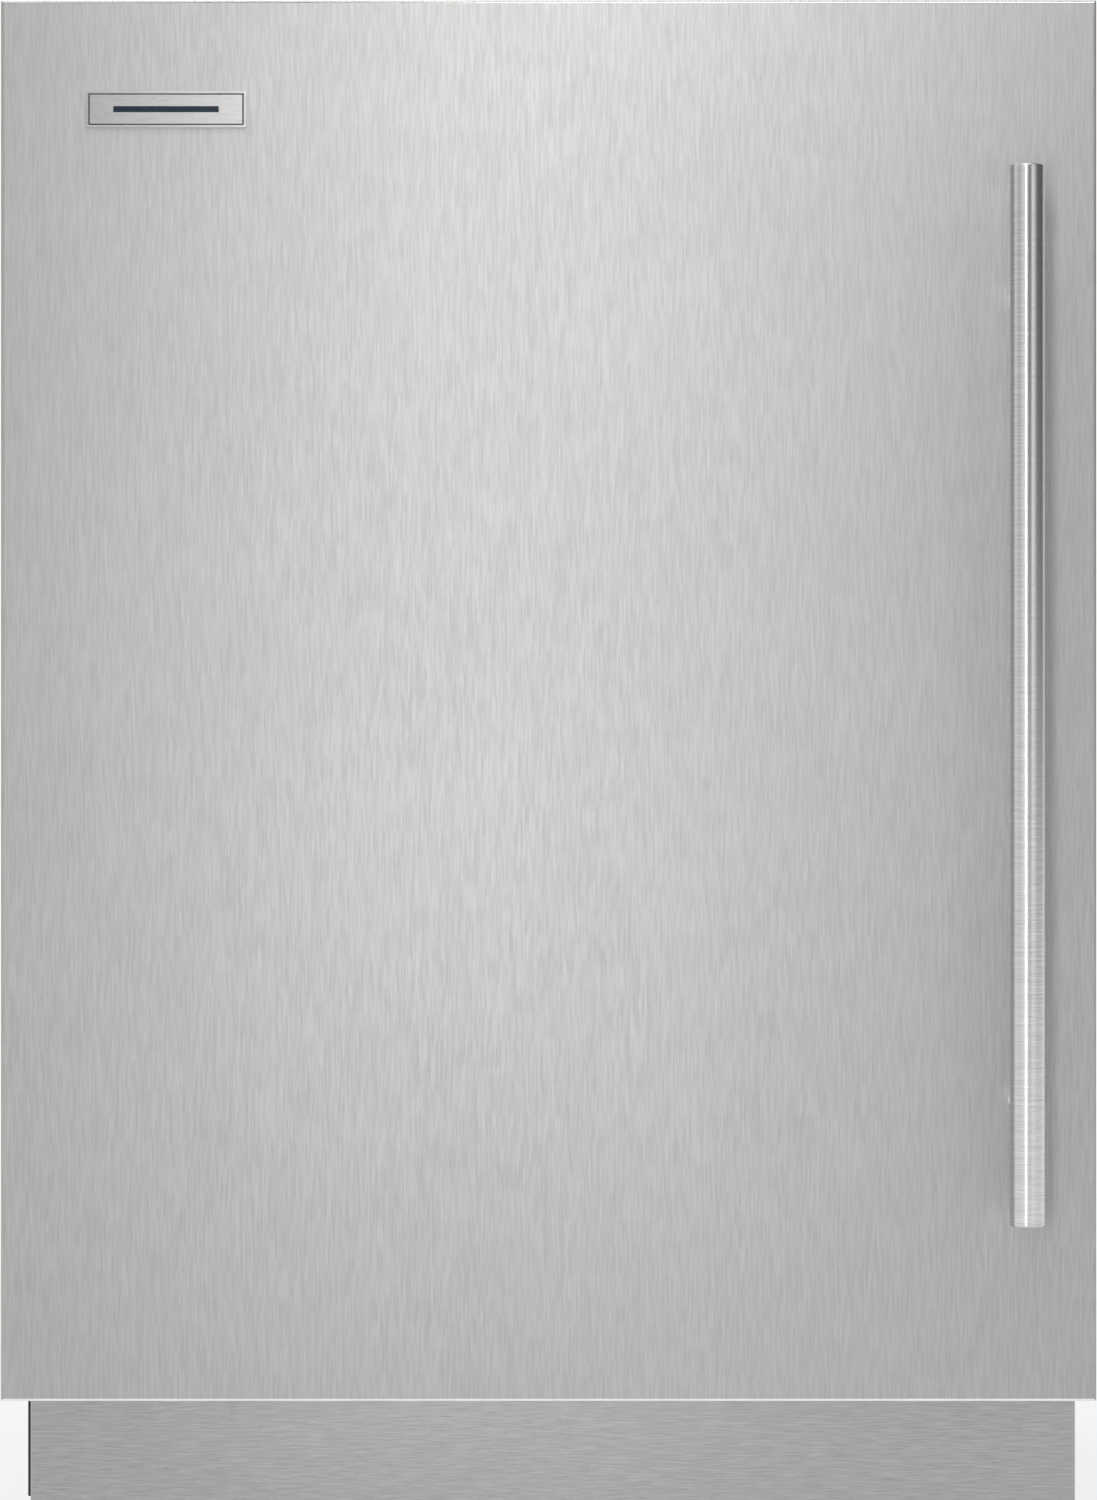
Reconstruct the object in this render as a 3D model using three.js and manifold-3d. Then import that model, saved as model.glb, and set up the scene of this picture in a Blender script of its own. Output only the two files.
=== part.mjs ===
// An undercounter refrigerator: an insulated steel cabinet on a levelled base, with a
// stainless door hinged on its left, a bar handle, door bins, glass shelves, crispers,
// a control panel, and the sealed refrigeration system behind and below the food space.
//
// Millimetres, +Z up. X runs to the right as seen from the front and Y to the back. While it
// is built, y = 0 is the face of the cabinet that the door's gasket seals against; at the end
// the whole group moves so that the origin is the centre of its footprint, on the floor.

import * as THREE from "three";
import { mergeVertices } from "three/addons/utils/BufferGeometryUtils.js";
import Module from "manifold-3d";

const wasm = await Module();
wasm.setup();

// ---------------------------------------------------------------- driving dimensions

const overallHeight = 867;
const cabinetWidth = 600;
const cabinetDepth = 530;
const topReveal = 3; // the cabinet's top above the door's
const doorRise = 93; // the door's foot above the floor
const doorOverhang = 1.5; // the door past the cabinet, at each side
const doorWidth = cabinetWidth + 2 * doorOverhang;
const doorHeight = overallHeight - topReveal - doorRise;

const fit = 0.3; // gap left between pieces that rest on each other
const sheet = 1; // steel of the wrapper, floor and back
const plastic = 2; // vacuum-formed liners

// cabinet
const bodyRise = 5; // the cabinet's floor sheet above the door's bottom edge
const wall = 45; // outer face of the cabinet to the food space, at the sides and top
const floorWall = 40; // the same through the floor
const backWall = 50; // the same through the back
const faceFlange = 36; // steel returned round the door opening
const linerLip = 9; // the liner's own flange inside that steel

// machine space behind and below the food space
const machineDepth = 190;
const machineTop = 265;
const humpWall = 32; // insulation and liner between the machine space and the food

// door, from the cabinet's face forwards
const gasketGap = 12;
const doorBody = 42;
const skinDepth = 20;
const skinSheet = 1.2;
const skinBend = 2;
const skinEndGap = 10.5; // the door's body stops this far inside the skin, top and bottom
const dykeRise = 14; // the liner's rim stands this far into the food space
const dykeWidth = 26;
const dykeClear = 7; // rim to the food space's walls

// hinge: a pin near the door's front left corner, held by an arm at each end
const pinFromSide = 10;
const pinFromFront = 11;
const pinRadius = 3;
const pinClear = 0.3;
const armThick = 5;
const armWidth = 10;
const armGap = 2; // arm to the door's body, and arm to the skin's flange
const bearingHeight = 14;

// gasket
const gasketWidth = 16;
const gasketInset = 1; // its inner edge outside the food space's walls
const gasketRest = 0.5; // left between its face and the cabinet

// handle
const handleRadius = 9.5;
const handleLength = 574;
const handleFromSide = 42;
const handleLift = 2.3; // its middle above the door's middle
const handleReach = 47.5; // door face to the bar's axis
const postRadius = 7;
const postFromEnd = 66;

// badge plate
const badgeWidth = 88;
const badgeHeight = 20;
const badgeThick = 3;
const badgeFromSide = 91.3;
const badgeFromTop = 60.4;

// base
const baseSheet = 1.5;
const baseRise = 25; // base sheet above the floor
const baseInset = 1.3;
const toeRecess = 34; // the base's front wall behind the cabinet's face
const grilleThick = 2.5;
const grilleBars = 14;
const kickSheet = 1.2;
const kickStandOff = 10; // the kick plate's face in front of the base's wall
const kickRise = 20;
const kickShort = 2.4; // the kick plate stops this short of the base's left edge

// levelling legs
const legInset = 34;
const footRadius = 19;
const footHeight = 10;
const stemRadius = 5;
const stemTop = 62;
const bossRadius = 11;
const bossHeight = 12;

// shelves
const shelfClearOfBins = 10; // the shelves' front behind the door bins
const shelfThick = 12;
const shelfRim = 13;
const glassThick = 4;
const glassLap = 6; // how far the glass lies on its frame
const shelfClear = 2; // frame to the walls
const coverGap = 4; // shelves to the cover behind them
const ledgeWidth = 8;
const ledgeHeight = 6;
const ledgeFirst = 330;
const ledgePitch = 70;
const ledgeCount = 6;
const lowerShelfLedge = 2;
const upperShelfLedge = 4;

// crispers
const crisperWall = 2.5;
const crisperGap = 5; // between the two
const crisperGrip = 10; // the grip lip in front of each
const runnerHeight = 3;
const runnerWidth = 6;
const crisperTopGap = 8;

// evaporator, its cover and fan
const coverDepth = 42;
const coverSheet = 2.5;
const coverInset = 5;
const coverTopGap = 32;
const returnGap = 30; // the cover's open foot above the crispers' cover
const slotHalf = 3.5;
const evaporatorFromSide = 100;
const evaporatorTop = 640;
const evaporatorThick = 1.6;
const channelRadius = 4;
const channelPasses = 6;
const fanHeight = 705;
const fanRadius = 40;

// control panel and light, under the roof of the food space
const panelHalf = 190;
const panelFront = 24;
const panelBack = 100;
const panelHeight = 30;
const buttonRadius = 5;
const buttonClear = 0.4;
const buttonStand = 1.8; // how far a button stands out
const buttonLength = 10;
const buttonSpare = 2; // room behind a button to be pressed into
const buttonPitch = 24;
const displayHalf = 30;

// door bins
const binSide = 3; // gap to the rim on each side
const binBack = 10; // gap to the door's liner, which the hooks bridge
const binDepth = 66;
const binWall = 2.2;
const hookHalf = 10;
const hookAt = 150;
const hookHeight = 14;
const pegHeight = 6;
const binLowerBase = 325;
const binLowerHeight = 78;
const binUpperBase = 440;
const binUpperHeight = 92;
const dairyBase = 606;
const dairyHeight = 90;
const lidThick = 2;
const lidDrop = 38;
const lidPinRadius = 2.5;

// machine space
const compressorRadius = 62;
const compressorHeight = 150;
const compressorStretch = 1.22; // its shell is oval
const compressorFromSide = 150;
const railHeight = 12;
const tubeClear = 2.3; // the discharge line's end from the shell
const suctionClear = 28; // the suction line's middle from the compressor's seam
const condenserFromSide = 68;
const condenserThick = 18;
const headerRadius = 7;
const condenserTubes = 12;
const shroudThick = 10;
const condenserFanRadius = 58;
const motorRadius = 21;
const tubeRadius = 3.2;
const trayHeight = 24;
const trayHalf = [88, 60];
const coverRecess = 2.6; // the cover's outer face inside the cabinet's back
const louvreRows = 7;
const louvrePitch = 17;
const louvreHalf = 62;
const inletFromSide = 50;
const inletZ = 64;

// ---------------------------------------------------------------- levels worked out from them

const halfCabinet = cabinetWidth / 2;
const halfDoor = doorWidth / 2;
const doorTop = overallHeight - topReveal;
const doorBottom = doorTop - doorHeight;
const bodyBottom = doorBottom + bodyRise;
const halfFood = halfCabinet - wall;
const foodTop = overallHeight - wall;
const foodBottom = bodyBottom + floorWall;
const foodBack = cabinetDepth - backWall;
const machineFront = cabinetDepth - machineDepth;
const humpFront = machineFront - humpWall;
const humpTop = machineTop + humpWall + 3;
const insideBack = cabinetDepth - sheet; // front face of the back sheet

const doorRear = -gasketGap;
const skinRear = doorRear - doorBody;
const doorFront = skinRear - skinDepth;
const bodyTopZ = doorTop - skinEndGap;
const bodyBottomZ = doorBottom + skinEndGap;
const halfBody = halfCabinet;
const pinX = -halfDoor + pinFromSide;
const pinY = doorFront + pinFromFront;
const halfDyke = halfFood - dykeClear;
const dykeTop = foodTop - dykeClear - 3;
const dykeBottom = foodBottom + dykeClear + 1;
const halfPocket = halfDyke - dykeWidth;
const pocketTop = dykeTop - dykeWidth;
const pocketBottom = dykeBottom + dykeWidth;

const coverFront = foodBack - coverDepth;
const shelfFront = binBack + binDepth + shelfClearOfBins;
const shelfBack = coverFront - coverGap;
const evaporatorHalf = halfCabinet - evaporatorFromSide;
const crisperLedge = humpTop + 2;
const baseTop = bodyBottom - fit;
const halfBase = halfCabinet - baseInset;
const kickFace = toeRecess - kickStandOff;
const handleX = halfDoor - handleFromSide;
const handleY = doorFront - handleReach;
const handleZ = (doorTop + doorBottom) / 2 + handleLift;
const condenserX = -halfCabinet + condenserFromSide;
const condenserY = (machineFront + cabinetDepth) / 2 - 1;
const compressorX = halfCabinet - compressorFromSide;
const inletX = halfCabinet - inletFromSide;
const compressorZ = baseRise + baseSheet + railHeight + fit;

// ---------------------------------------------------------------- shapes

// A closed three.js geometry as a manifold solid.
function solidOf(geometry) {
  const bare = geometry.index ? geometry.toNonIndexed() : geometry.clone();
  bare.deleteAttribute("normal");
  bare.deleteAttribute("uv");
  const merged = mergeVertices(bare, 1e-4);
  const made = new wasm.Manifold(
    new wasm.Mesh({
      numProp: 3,
      vertProperties: new Float32Array(merged.attributes.position.array),
      triVerts: new Uint32Array(merged.index.array),
    }),
  );
  if (made.volume() < 0) throw new Error("a shape was made inside out");
  return made;
}

const sum = (...solids) => solids.reduce((a, b) => a.add(b));
const less = (solid, ...cuts) => cuts.reduce((a, b) => a.subtract(b), solid);

// A block between two values on each axis.
function block([x0, x1], [y0, y1], [z0, z1]) {
  const g = new THREE.BoxGeometry(x1 - x0, y1 - y0, z1 - z0);
  g.translate((x0 + x1) / 2, (y0 + y1) / 2, (z0 + z1) / 2);
  return solidOf(g);
}

const turnTo = {
  x: (g) => g.rotateZ(-Math.PI / 2),
  y: (g) => g,
  z: (g) => g.rotateX(Math.PI / 2),
};

// A round bar along an axis, between two values on it, centred on the other two coordinates.
function bar(axis, radius, [from, to], [u, v], sides = 24) {
  const g = turnTo[axis](new THREE.CylinderGeometry(radius, radius, to - from, sides));
  const middle = (from + to) / 2;
  const at = { x: [middle, u, v], y: [u, middle, v], z: [u, v, middle] }[axis];
  g.translate(...at);
  return solidOf(g);
}

// A turned piece about +Z: [radius, height] points from the foot up, from axis to axis.
function turned(profile, sides = 24) {
  const points = profile.map(([r, h]) => new THREE.Vector2(r, h));
  return solidOf(new THREE.LatheGeometry(points, sides).rotateX(Math.PI / 2));
}

const outline = (points) => new THREE.Shape(points.map(([u, v]) => new THREE.Vector2(u, v)));

// An outline in Y and Z, drawn out along X.
function alongX(points, [x0, x1]) {
  const g = new THREE.ExtrudeGeometry(outline(points), { depth: x1 - x0, bevelEnabled: false });
  g.applyMatrix4(new THREE.Matrix4().set(0, 0, 1, x0, 1, 0, 0, 0, 0, 1, 0, 0, 0, 0, 0, 1));
  return solidOf(g);
}

// A round tube of one radius along a smooth curve through the points.
function tube(points, radius, steps, sides = 8) {
  const path = new THREE.CatmullRomCurve3(
    points.map((p) => new THREE.Vector3(...p)),
    false,
    "centripetal",
  );
  const section = new THREE.Shape();
  section.absarc(0, 0, radius, 0, Math.PI * 2);
  const g = new THREE.ExtrudeGeometry(section, {
    steps,
    curveSegments: sides,
    bevelEnabled: false,
    extrudePath: path,
  });
  return solidOf(g);
}

// An open-topped box with one wall thickness.
function tub([x0, x1], [y0, y1], [z0, z1], t) {
  return less(
    block([x0, x1], [y0, y1], [z0, z1]),
    block([x0 + t, x1 - t], [y0 + t, y1 - t], [z0 + t, z1 + t]),
  );
}

// ---------------------------------------------------------------- finishes

const finish = (color, roughness, metalness) =>
  new THREE.MeshStandardMaterial({ color, roughness, metalness });
const brushedSteel = finish(0xc4c2bf, 0.35, 1);
const darkSteel = finish(0xa2a2a2, 0.4, 1);
const paintedSteel = finish(0x3a3b3d, 0.5, 0.3);
const blackSteel = finish(0x161617, 0.5, 0.2);
const zincSteel = finish(0x9fa3a6, 0.4, 0.9);
const whitePlastic = finish(0xf0f0ee, 0.4, 0);
const clearPlastic = finish(0xdfe6ea, 0.15, 0);
const glass = finish(0xcfe3df, 0.05, 0);
const greyPlastic = finish(0x8e9194, 0.5, 0);
const blackPlastic = finish(0x1b1b1c, 0.5, 0);
const foam = finish(0xe8dcb4, 0.9, 0);
const rubber = finish(0x6f7173, 0.8, 0);
const copper = finish(0xb87345, 0.3, 1);
const aluminium = finish(0xb9bcbf, 0.35, 1);

const fridge = new THREE.Group();

// A mesh holds 32-bit numbers, so its normals are worked out again from its faces.
function add(name, solid, material) {
  const made = solid.getMesh();
  const g = new THREE.BufferGeometry();
  g.setAttribute("position", new THREE.BufferAttribute(new Float32Array(made.vertProperties), 3));
  g.setIndex(new THREE.BufferAttribute(new Uint32Array(made.triVerts), 1));
  const flat = g.toNonIndexed();
  flat.computeVertexNormals();
  const mesh = new THREE.Mesh(flat, material);
  mesh.name = name;
  fridge.add(mesh);
}

// ---------------------------------------------------------------- cabinet shell

// One sheet folded over the top and down both sides, returned round the door opening.
function outerWrapper() {
  const [front, back] = [0, cabinetDepth];
  return less(
    block([-halfCabinet, halfCabinet], [front, back], [bodyBottom, overallHeight]),
    block(
      [-halfCabinet + sheet, halfCabinet - sheet],
      [sheet, back + 1],
      [bodyBottom - 1, overallHeight - sheet],
    ),
    block(
      [-halfCabinet + faceFlange, halfCabinet - faceFlange],
      [-1, sheet + 1],
      [bodyBottom - 1, overallHeight - faceFlange],
    ),
  );
}

// The floor of the body: one sheet that steps up over the machine space.
function floorSheet() {
  const half = halfCabinet - sheet - fit;
  const inFlange = halfCabinet - faceFlange - fit;
  const behind = sheet + fit;
  const step = [
    [behind, bodyBottom],
    [machineFront + sheet, bodyBottom],
    [machineFront + sheet, machineTop - sheet],
    [insideBack - fit, machineTop - sheet],
    [insideBack - fit, machineTop],
    [machineFront, machineTop],
    [machineFront, bodyBottom + sheet],
    [behind, bodyBottom + sheet],
  ];
  return sum(
    alongX(step, [-half, half]),
    block([-inFlange, inFlange], [0, sheet], [bodyBottom, foodBottom - linerLip + 1 - fit]),
    block([-inFlange, inFlange], [0, behind + 1], [bodyBottom, bodyBottom + sheet]),
  );
}

function backSheet() {
  const half = halfCabinet - sheet - fit;
  return block([-half, half], [insideBack, cabinetDepth], [machineTop + fit, overallHeight - sheet - fit]);
}

// The food space's outline in Y and Z, grown outwards by g.
function foodOutline(front, g) {
  return [
    [front, foodBottom - g],
    [humpFront + g, foodBottom - g],
    [humpFront + g, humpTop - g],
    [foodBack + g, humpTop - g],
    [foodBack + g, foodTop + g],
    [front, foodTop + g],
  ];
}

// Foamed in place between the steel and the liner.
function cabinetInsulation() {
  const half = halfCabinet - sheet - fit;
  const front = plastic + fit;
  const top = overallHeight - sheet - fit;
  const shell = [
    [front, bodyBottom + sheet + fit],
    [machineFront - fit, bodyBottom + sheet + fit],
    [machineFront - fit, machineTop + fit],
    [insideBack - fit, machineTop + fit],
    [insideBack - fit, top],
    [front, top],
  ];
  const g = plastic + fit;
  return less(
    alongX(shell, [-half, half]),
    alongX(foodOutline(-1, g), [-halfFood - g, halfFood + g]),
  );
}

const ledgeTops = Array.from({ length: ledgeCount }, (_, i) => ledgeFirst + i * ledgePitch);

// The lining of the food space, with its ledges for the shelves and runners for the crispers.
function innerLiner() {
  const g = plastic;
  const lip = halfFood + linerLip - fit;
  const shell = sum(
    alongX(foodOutline(0, g), [-halfFood - g, halfFood + g]),
    block([-lip, lip], [0, plastic], [foodBottom - linerLip + 1, foodTop + linerLip - fit]),
  );
  const ledges = [];
  for (const side of [-1, 1]) {
    const x = [side * (halfFood - ledgeWidth), side * (halfFood + plastic / 2)].sort((a, b) => a - b);
    for (const top of ledgeTops) {
      ledges.push(block(x, [shelfFront, shelfBack], [top - ledgeHeight, top]));
    }
    ledges.push(block(x, [shelfFront, humpFront + 1], [crisperLedge - ledgeHeight, crisperLedge]));
  }
  const runners = crisperSpans.flatMap(([x0, x1]) =>
    [x0 + 3 * runnerWidth, x1 - 3 * runnerWidth].map((x) =>
      block(
        [x - runnerWidth / 2, x + runnerWidth / 2],
        [shelfFront, humpFront + 1],
        [foodBottom - 1, foodBottom + runnerHeight],
      ),
    ),
  );
  const hollow = less(shell, alongX(foodOutline(-1, 0), [-halfFood, halfFood]));
  return sum(hollow, ...ledges, ...runners);
}

// ---------------------------------------------------------------- base, legs and kick plate

const legPlaces = {
  front_left: [-halfBase + legInset, toeRecess + legInset],
  front_right: [halfBase - legInset, toeRecess + legInset],
  rear_left: [-halfBase + legInset, cabinetDepth - legInset],
  rear_right: [halfBase - legInset, cabinetDepth - legInset],
};
const grilleHalf = halfBase - 2 * legInset;
const grilleTop = baseTop - 10;
const grilleBottom = baseRise + 12;

// A tray that carries the machines, open behind, with a threaded boss for each leg.
function baseTray() {
  const inner = halfBase - baseSheet;
  const bosses = Object.values(legPlaces).map((at) =>
    bar("z", bossRadius, [baseRise, baseRise + baseSheet + bossHeight], at, 16),
  );
  const holes = Object.values(legPlaces).map((at) =>
    bar("z", stemRadius + fit, [baseRise - 1, baseRise + baseSheet + bossHeight + 1], at, 16),
  );
  const tray = less(
    block([-halfBase, halfBase], [toeRecess, cabinetDepth - sheet], [baseRise, baseTop]),
    block([-inner, inner], [toeRecess + baseSheet, cabinetDepth], [baseRise + baseSheet, baseTop + 1]),
    block([-grilleHalf, grilleHalf], [toeRecess - 1, toeRecess + baseSheet + 1], [grilleBottom, grilleTop]),
  );
  return less(sum(tray, ...bosses), ...holes);
}

// Upright bars in front of the air inlet in the base's front wall.
function baseGrille() {
  const lap = 5;
  const y = [toeRecess - fit - grilleThick, toeRecess - fit];
  const bay = (2 * grilleHalf) / grilleBars;
  const slots = Array.from({ length: grilleBars }, (_, i) => {
    const x = -grilleHalf + i * bay;
    return block([x + bay * 0.15, x + bay * 0.85], [y[0] - 1, y[1] + 1], [grilleBottom + 4, grilleTop - 4]);
  });
  const plate = block([-grilleHalf - lap, grilleHalf + lap], y, [grilleBottom - lap, grilleTop + lap]);
  return less(plate, ...slots);
}

// A shallow channel: its face, and an end returned to the base at each side.
function kickPlate() {
  const x = [-halfBase + kickShort, halfBase];
  const z = [kickRise, bodyBottom - 2];
  return less(
    block(x, [kickFace, toeRecess - fit], z),
    block([x[0] + kickSheet, x[1] - kickSheet], [kickFace + kickSheet, toeRecess], [z[0] - 1, z[1] + 1]),
  );
}

// A foot with a threaded stem that screws up into the base.
function levellingLeg([x, y]) {
  const chamfer = 2;
  return turned(
    [
      [0, 0],
      [footRadius - chamfer, 0],
      [footRadius, chamfer],
      [footRadius, footHeight - chamfer],
      [stemRadius + 3, footHeight + chamfer],
      [stemRadius, footHeight + chamfer],
      [stemRadius, stemTop - 1],
      [stemRadius - 1, stemTop],
      [0, stemTop],
    ],
    16,
  ).translate([x, y, 0]);
}

// ---------------------------------------------------------------- door

// A folded pan: the visible face with all four edges returned backwards.
function doorSkin() {
  const corner = new THREE.Shape();
  const [w, h] = [halfDoor - skinBend, doorHeight / 2 - skinBend];
  corner.moveTo(-w, -h).lineTo(w, -h).lineTo(w, h).lineTo(-w, h);
  const bent = new THREE.ExtrudeGeometry(corner, {
    depth: skinDepth,
    bevelSize: skinBend,
    bevelThickness: skinBend,
    bevelSegments: 3,
  });
  bent.rotateX(Math.PI / 2);
  bent.translate(0, doorFront + skinBend + skinDepth, (doorTop + doorBottom) / 2);
  const t = skinSheet;
  const armRoom = armZ.top[1] - armZ.top[0] + 2 * armGap;
  const notch = (z) =>
    block([-halfDoor - 1, -halfDoor + t + 1], [doorFront + skinBend + 0.5, skinRear + 1], [z, z + armRoom]);
  return less(
    solidOf(bent),
    block([-halfDoor - 1, halfDoor + 1], [skinRear, skinRear + skinDepth], [0, overallHeight]),
    block(
      [-halfDoor + t, halfDoor - t],
      [doorFront + t, skinRear + 1],
      [doorBottom + t, doorTop - t],
    ),
    notch(armZ.top[0] - armGap),
    notch(armZ.bottom[0] - armGap),
  );
}

const armZ = {
  top: [bodyTopZ + armGap, bodyTopZ + armGap + armThick],
  bottom: [bodyBottomZ - armGap - armThick, bodyBottomZ - armGap],
};
const bearingSpan = [pinX - 8, pinX + 16];
const bearingDeep = [doorFront + skinSheet + fit, skinRear - fit];
const bearingZ = {
  top: [bodyTopZ - bearingHeight, bodyTopZ],
  bottom: [bodyBottomZ, bodyBottomZ + bearingHeight],
};

const binPegs = [
  binLowerBase + binLowerHeight,
  binUpperBase + binUpperHeight,
  dairyBase + dairyHeight,
].flatMap((top) => [-hookAt, hookAt].map((x) => ({ x, top: top - hookHeight - fit })));

// The inside of the door: sides, gasket flange, rim and pocket in one sheet, with bin pegs.
function doorLiner() {
  const t = plastic;
  const body = block([-halfBody, halfBody], [skinRear + fit, doorRear], [bodyBottomZ, bodyTopZ]);
  const rim = block([-halfDyke, halfDyke], [doorRear - 1, dykeRise], [dykeBottom, dykeTop]);
  const pocket = block([-halfPocket, halfPocket], [0, dykeRise + 1], [pocketBottom, pocketTop]);
  const inside = block(
    [-halfBody + t, halfBody - t],
    [skinRear - 1, doorRear - t],
    [bodyBottomZ + t, bodyTopZ - t],
  );
  const pegs = binPegs.map(({ x, top }) =>
    block([x - hookHalf + 1, x + hookHalf - 1], [-1, binBack - 1], [top - pegHeight, top]),
  );
  return sum(less(sum(body, rim), pocket, inside, rimCore(0)), ...pegs);
}

// What fills the rim behind its sheet, shrunk by g.
function rimCore(g) {
  const t = plastic + g;
  return less(
    block([-halfDyke + t, halfDyke - t], [doorRear - t - 1, dykeRise - t], [dykeBottom + t, dykeTop - t]),
    block([-halfPocket - t, halfPocket + t], [-t, dykeRise], [pocketBottom - t, pocketTop + t]),
  );
}

function doorInsulation() {
  const t = plastic + fit;
  const s = skinSheet + fit;
  const inSkin = block(
    [-halfDoor + s, halfDoor - s],
    [doorFront + s, skinRear - fit],
    [doorBottom + s, doorTop - s],
  );
  const inBody = block(
    [-halfBody + t, halfBody - t],
    [skinRear - 1, doorRear - t],
    [bodyBottomZ + t, bodyTopZ - t],
  );
  const hingePocket = ([z0, z1]) =>
    block([-halfDoor, bearingSpan[1] + fit], [doorFront, skinRear], [z0, z1]);
  return less(
    sum(inSkin, inBody, rimCore(fit)),
    hingePocket([bearingZ.top[0] - fit, doorTop]),
    hingePocket([doorBottom, bearingZ.bottom[1] + fit]),
  );
}

// A plastic bearing in the door's corner that turns on the hinge pin.
function hingeBearing(z) {
  return less(
    block(bearingSpan, bearingDeep, z),
    bar("z", pinRadius + pinClear, [z[0] - 1, z[1] + 1], [pinX, pinY], 16),
  );
}

// A bracket screwed to the cabinet's face, with an arm out to the pin. up is 1 at the foot.
function hingeBracket([z0, z1], up) {
  const plate = [-4, -fit];
  const rootX = [-halfCabinet + 2, -halfCabinet + 24];
  const tall = 40;
  const plateZ = up > 0 ? [z0, z0 + tall] : [z1 - tall, z1];
  const reach = armGap + bearingHeight - 1;
  const pinZ = up > 0 ? [z1 - 1, z1 + reach] : [z0 - reach, z0 + 1];
  return sum(
    block(rootX, plate, plateZ),
    block([pinX - armWidth / 2, pinX + armWidth / 2], [pinY, -fit], [z0, z1]),
    block(rootX, [-16, -fit], [z0, z1]),
    bar("z", armWidth / 2, [z0, z1], [pinX, pinY], 16),
    bar("z", pinRadius, pinZ, [pinX, pinY], 16),
  );
}

// A magnetic ring that the door closes on, with its edges eased.
function doorGasket() {
  const inner = halfFood + gasketInset;
  const outer = inner + gasketWidth;
  const z = [foodBottom - gasketInset, foodTop + gasketInset];
  const y = [doorRear + fit, -gasketRest];
  const ease = 2;
  return sum(
    less(
      block([-outer, outer], [y[0], y[1] - ease], [z[0] - gasketWidth, z[1] + gasketWidth]),
      block([-inner, inner], [y[0] - 1, y[1] + 1], z),
    ),
    less(
      block([-outer + ease, outer - ease], [y[1] - 2 * ease, y[1]], [
        z[0] - gasketWidth + ease,
        z[1] + gasketWidth - ease,
      ]),
      block([-inner - ease, inner + ease], [y[0] - 1, y[1] + 1], [z[0] - ease, z[1] + ease]),
    ),
  );
}

// ---------------------------------------------------------------- handle and badge

function handleBar() {
  const [half, ease] = [handleLength / 2, 0.8];
  return turned(
    [
      [0, -half],
      [handleRadius - ease, -half],
      [handleRadius, -half + ease],
      [handleRadius, half - ease],
      [handleRadius - ease, half],
      [0, half],
    ],
    32,
  ).translate([handleX, handleY, handleZ]);
}

// A round post with a saddle that the bar sits in.
function handlePost(side) {
  const z = handleZ + side * (handleLength / 2 - postFromEnd);
  return less(
    bar("y", postRadius, [handleY, doorFront - fit], [handleX, z]),
    bar("z", handleRadius + fit, [z - 2 * postRadius, z + 2 * postRadius], [handleX, handleY], 32),
  );
}

// A plain framed plate with a raised bar across its middle.
function badgePlate() {
  const x = -halfDoor + badgeFromSide;
  const z = doorTop - badgeFromTop;
  const y = [doorFront - badgeThick, doorFront - fit];
  const [w, h, rim] = [badgeWidth / 2, badgeHeight / 2, 2];
  return sum(
    less(
      block([x - w, x + w], y, [z - h, z + h]),
      block([x - w + rim, x + w - rim], [y[0] - 1, y[0] + 1], [z - h + rim, z + h - rim]),
    ),
    block([x - w * 0.7, x + w * 0.7], [y[0] + 0.3, y[0] + 2], [z - 1.5, z + 1.5]),
  );
}

// ---------------------------------------------------------------- bins in the door

const binX = [-halfPocket + binSide, halfPocket - binSide];
const binY = [binBack, binBack + binDepth];

// An open bin that hooks down over two pegs on the door's liner.
function doorBin(base, height) {
  const top = base + height;
  const hooks = [-hookAt, hookAt].map((x) =>
    block([x - hookHalf, x + hookHalf], [1, binBack + 1], [top - hookHeight, top]),
  );
  return sum(tub(binX, binY, [base, top], binWall), ...hooks);
}

const lidAxisY = binY[0] + 4;
const lidAxisZ = dairyBase + dairyHeight + lidPinRadius + 1.5;

// A bin with an ear at each end that holds the lid's pins.
function dairyBox() {
  const ear = ([x0, x1]) =>
    less(
      block([x0, x1], [lidAxisY - 4, lidAxisY + 4], [dairyBase + dairyHeight - 4, lidAxisZ + 4]),
      bar("x", lidPinRadius + fit, [x0 - 1, x1 + 1], [lidAxisY, lidAxisZ], 12),
    );
  return sum(
    doorBin(dairyBase, dairyHeight),
    ear([binX[0], binX[0] + binWall]),
    ear([binX[1] - binWall, binX[1]]),
  );
}

// A clear lid that turns up about a rod along its back edge.
function dairyLid() {
  const gap = 0.6;
  const x = [binX[0] + binWall + gap, binX[1] - binWall - gap];
  const front = binY[1] + gap + lidThick;
  const top = lidAxisZ + lidThick / 2;
  return sum(
    block(x, [lidAxisY, front], [top - lidThick, top]),
    block(x, [front - lidThick, front], [top - lidDrop, top]),
    bar("x", lidPinRadius, [binX[0], binX[1]], [lidAxisY, lidAxisZ], 12),
  );
}

// ---------------------------------------------------------------- shelves and crispers

const shelfX = [-halfFood + shelfClear, halfFood - shelfClear];
const paneX = [shelfX[0] + shelfRim - glassLap, shelfX[1] - shelfRim + glassLap];
const paneY = [shelfFront + shelfRim - glassLap, shelfBack - shelfRim + glassLap];

// A frame with a window through it and a rebate that the glass lies in.
function shelfFrame(base) {
  const top = base + shelfThick;
  const rebate = top - glassThick - 2;
  return less(
    block(shelfX, [shelfFront, shelfBack], [base, top]),
    block(
      [shelfX[0] + shelfRim, shelfX[1] - shelfRim],
      [shelfFront + shelfRim, shelfBack - shelfRim],
      [base - 1, top + 1],
    ),
    block(paneX, paneY, [rebate, top + 1]),
  );
}

function shelfGlass(base) {
  const floor = base + shelfThick - glassThick - 2 + fit;
  return block(
    [paneX[0] + fit, paneX[1] - fit],
    [paneY[0] + fit, paneY[1] - fit],
    [floor, floor + glassThick],
  );
}

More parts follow.
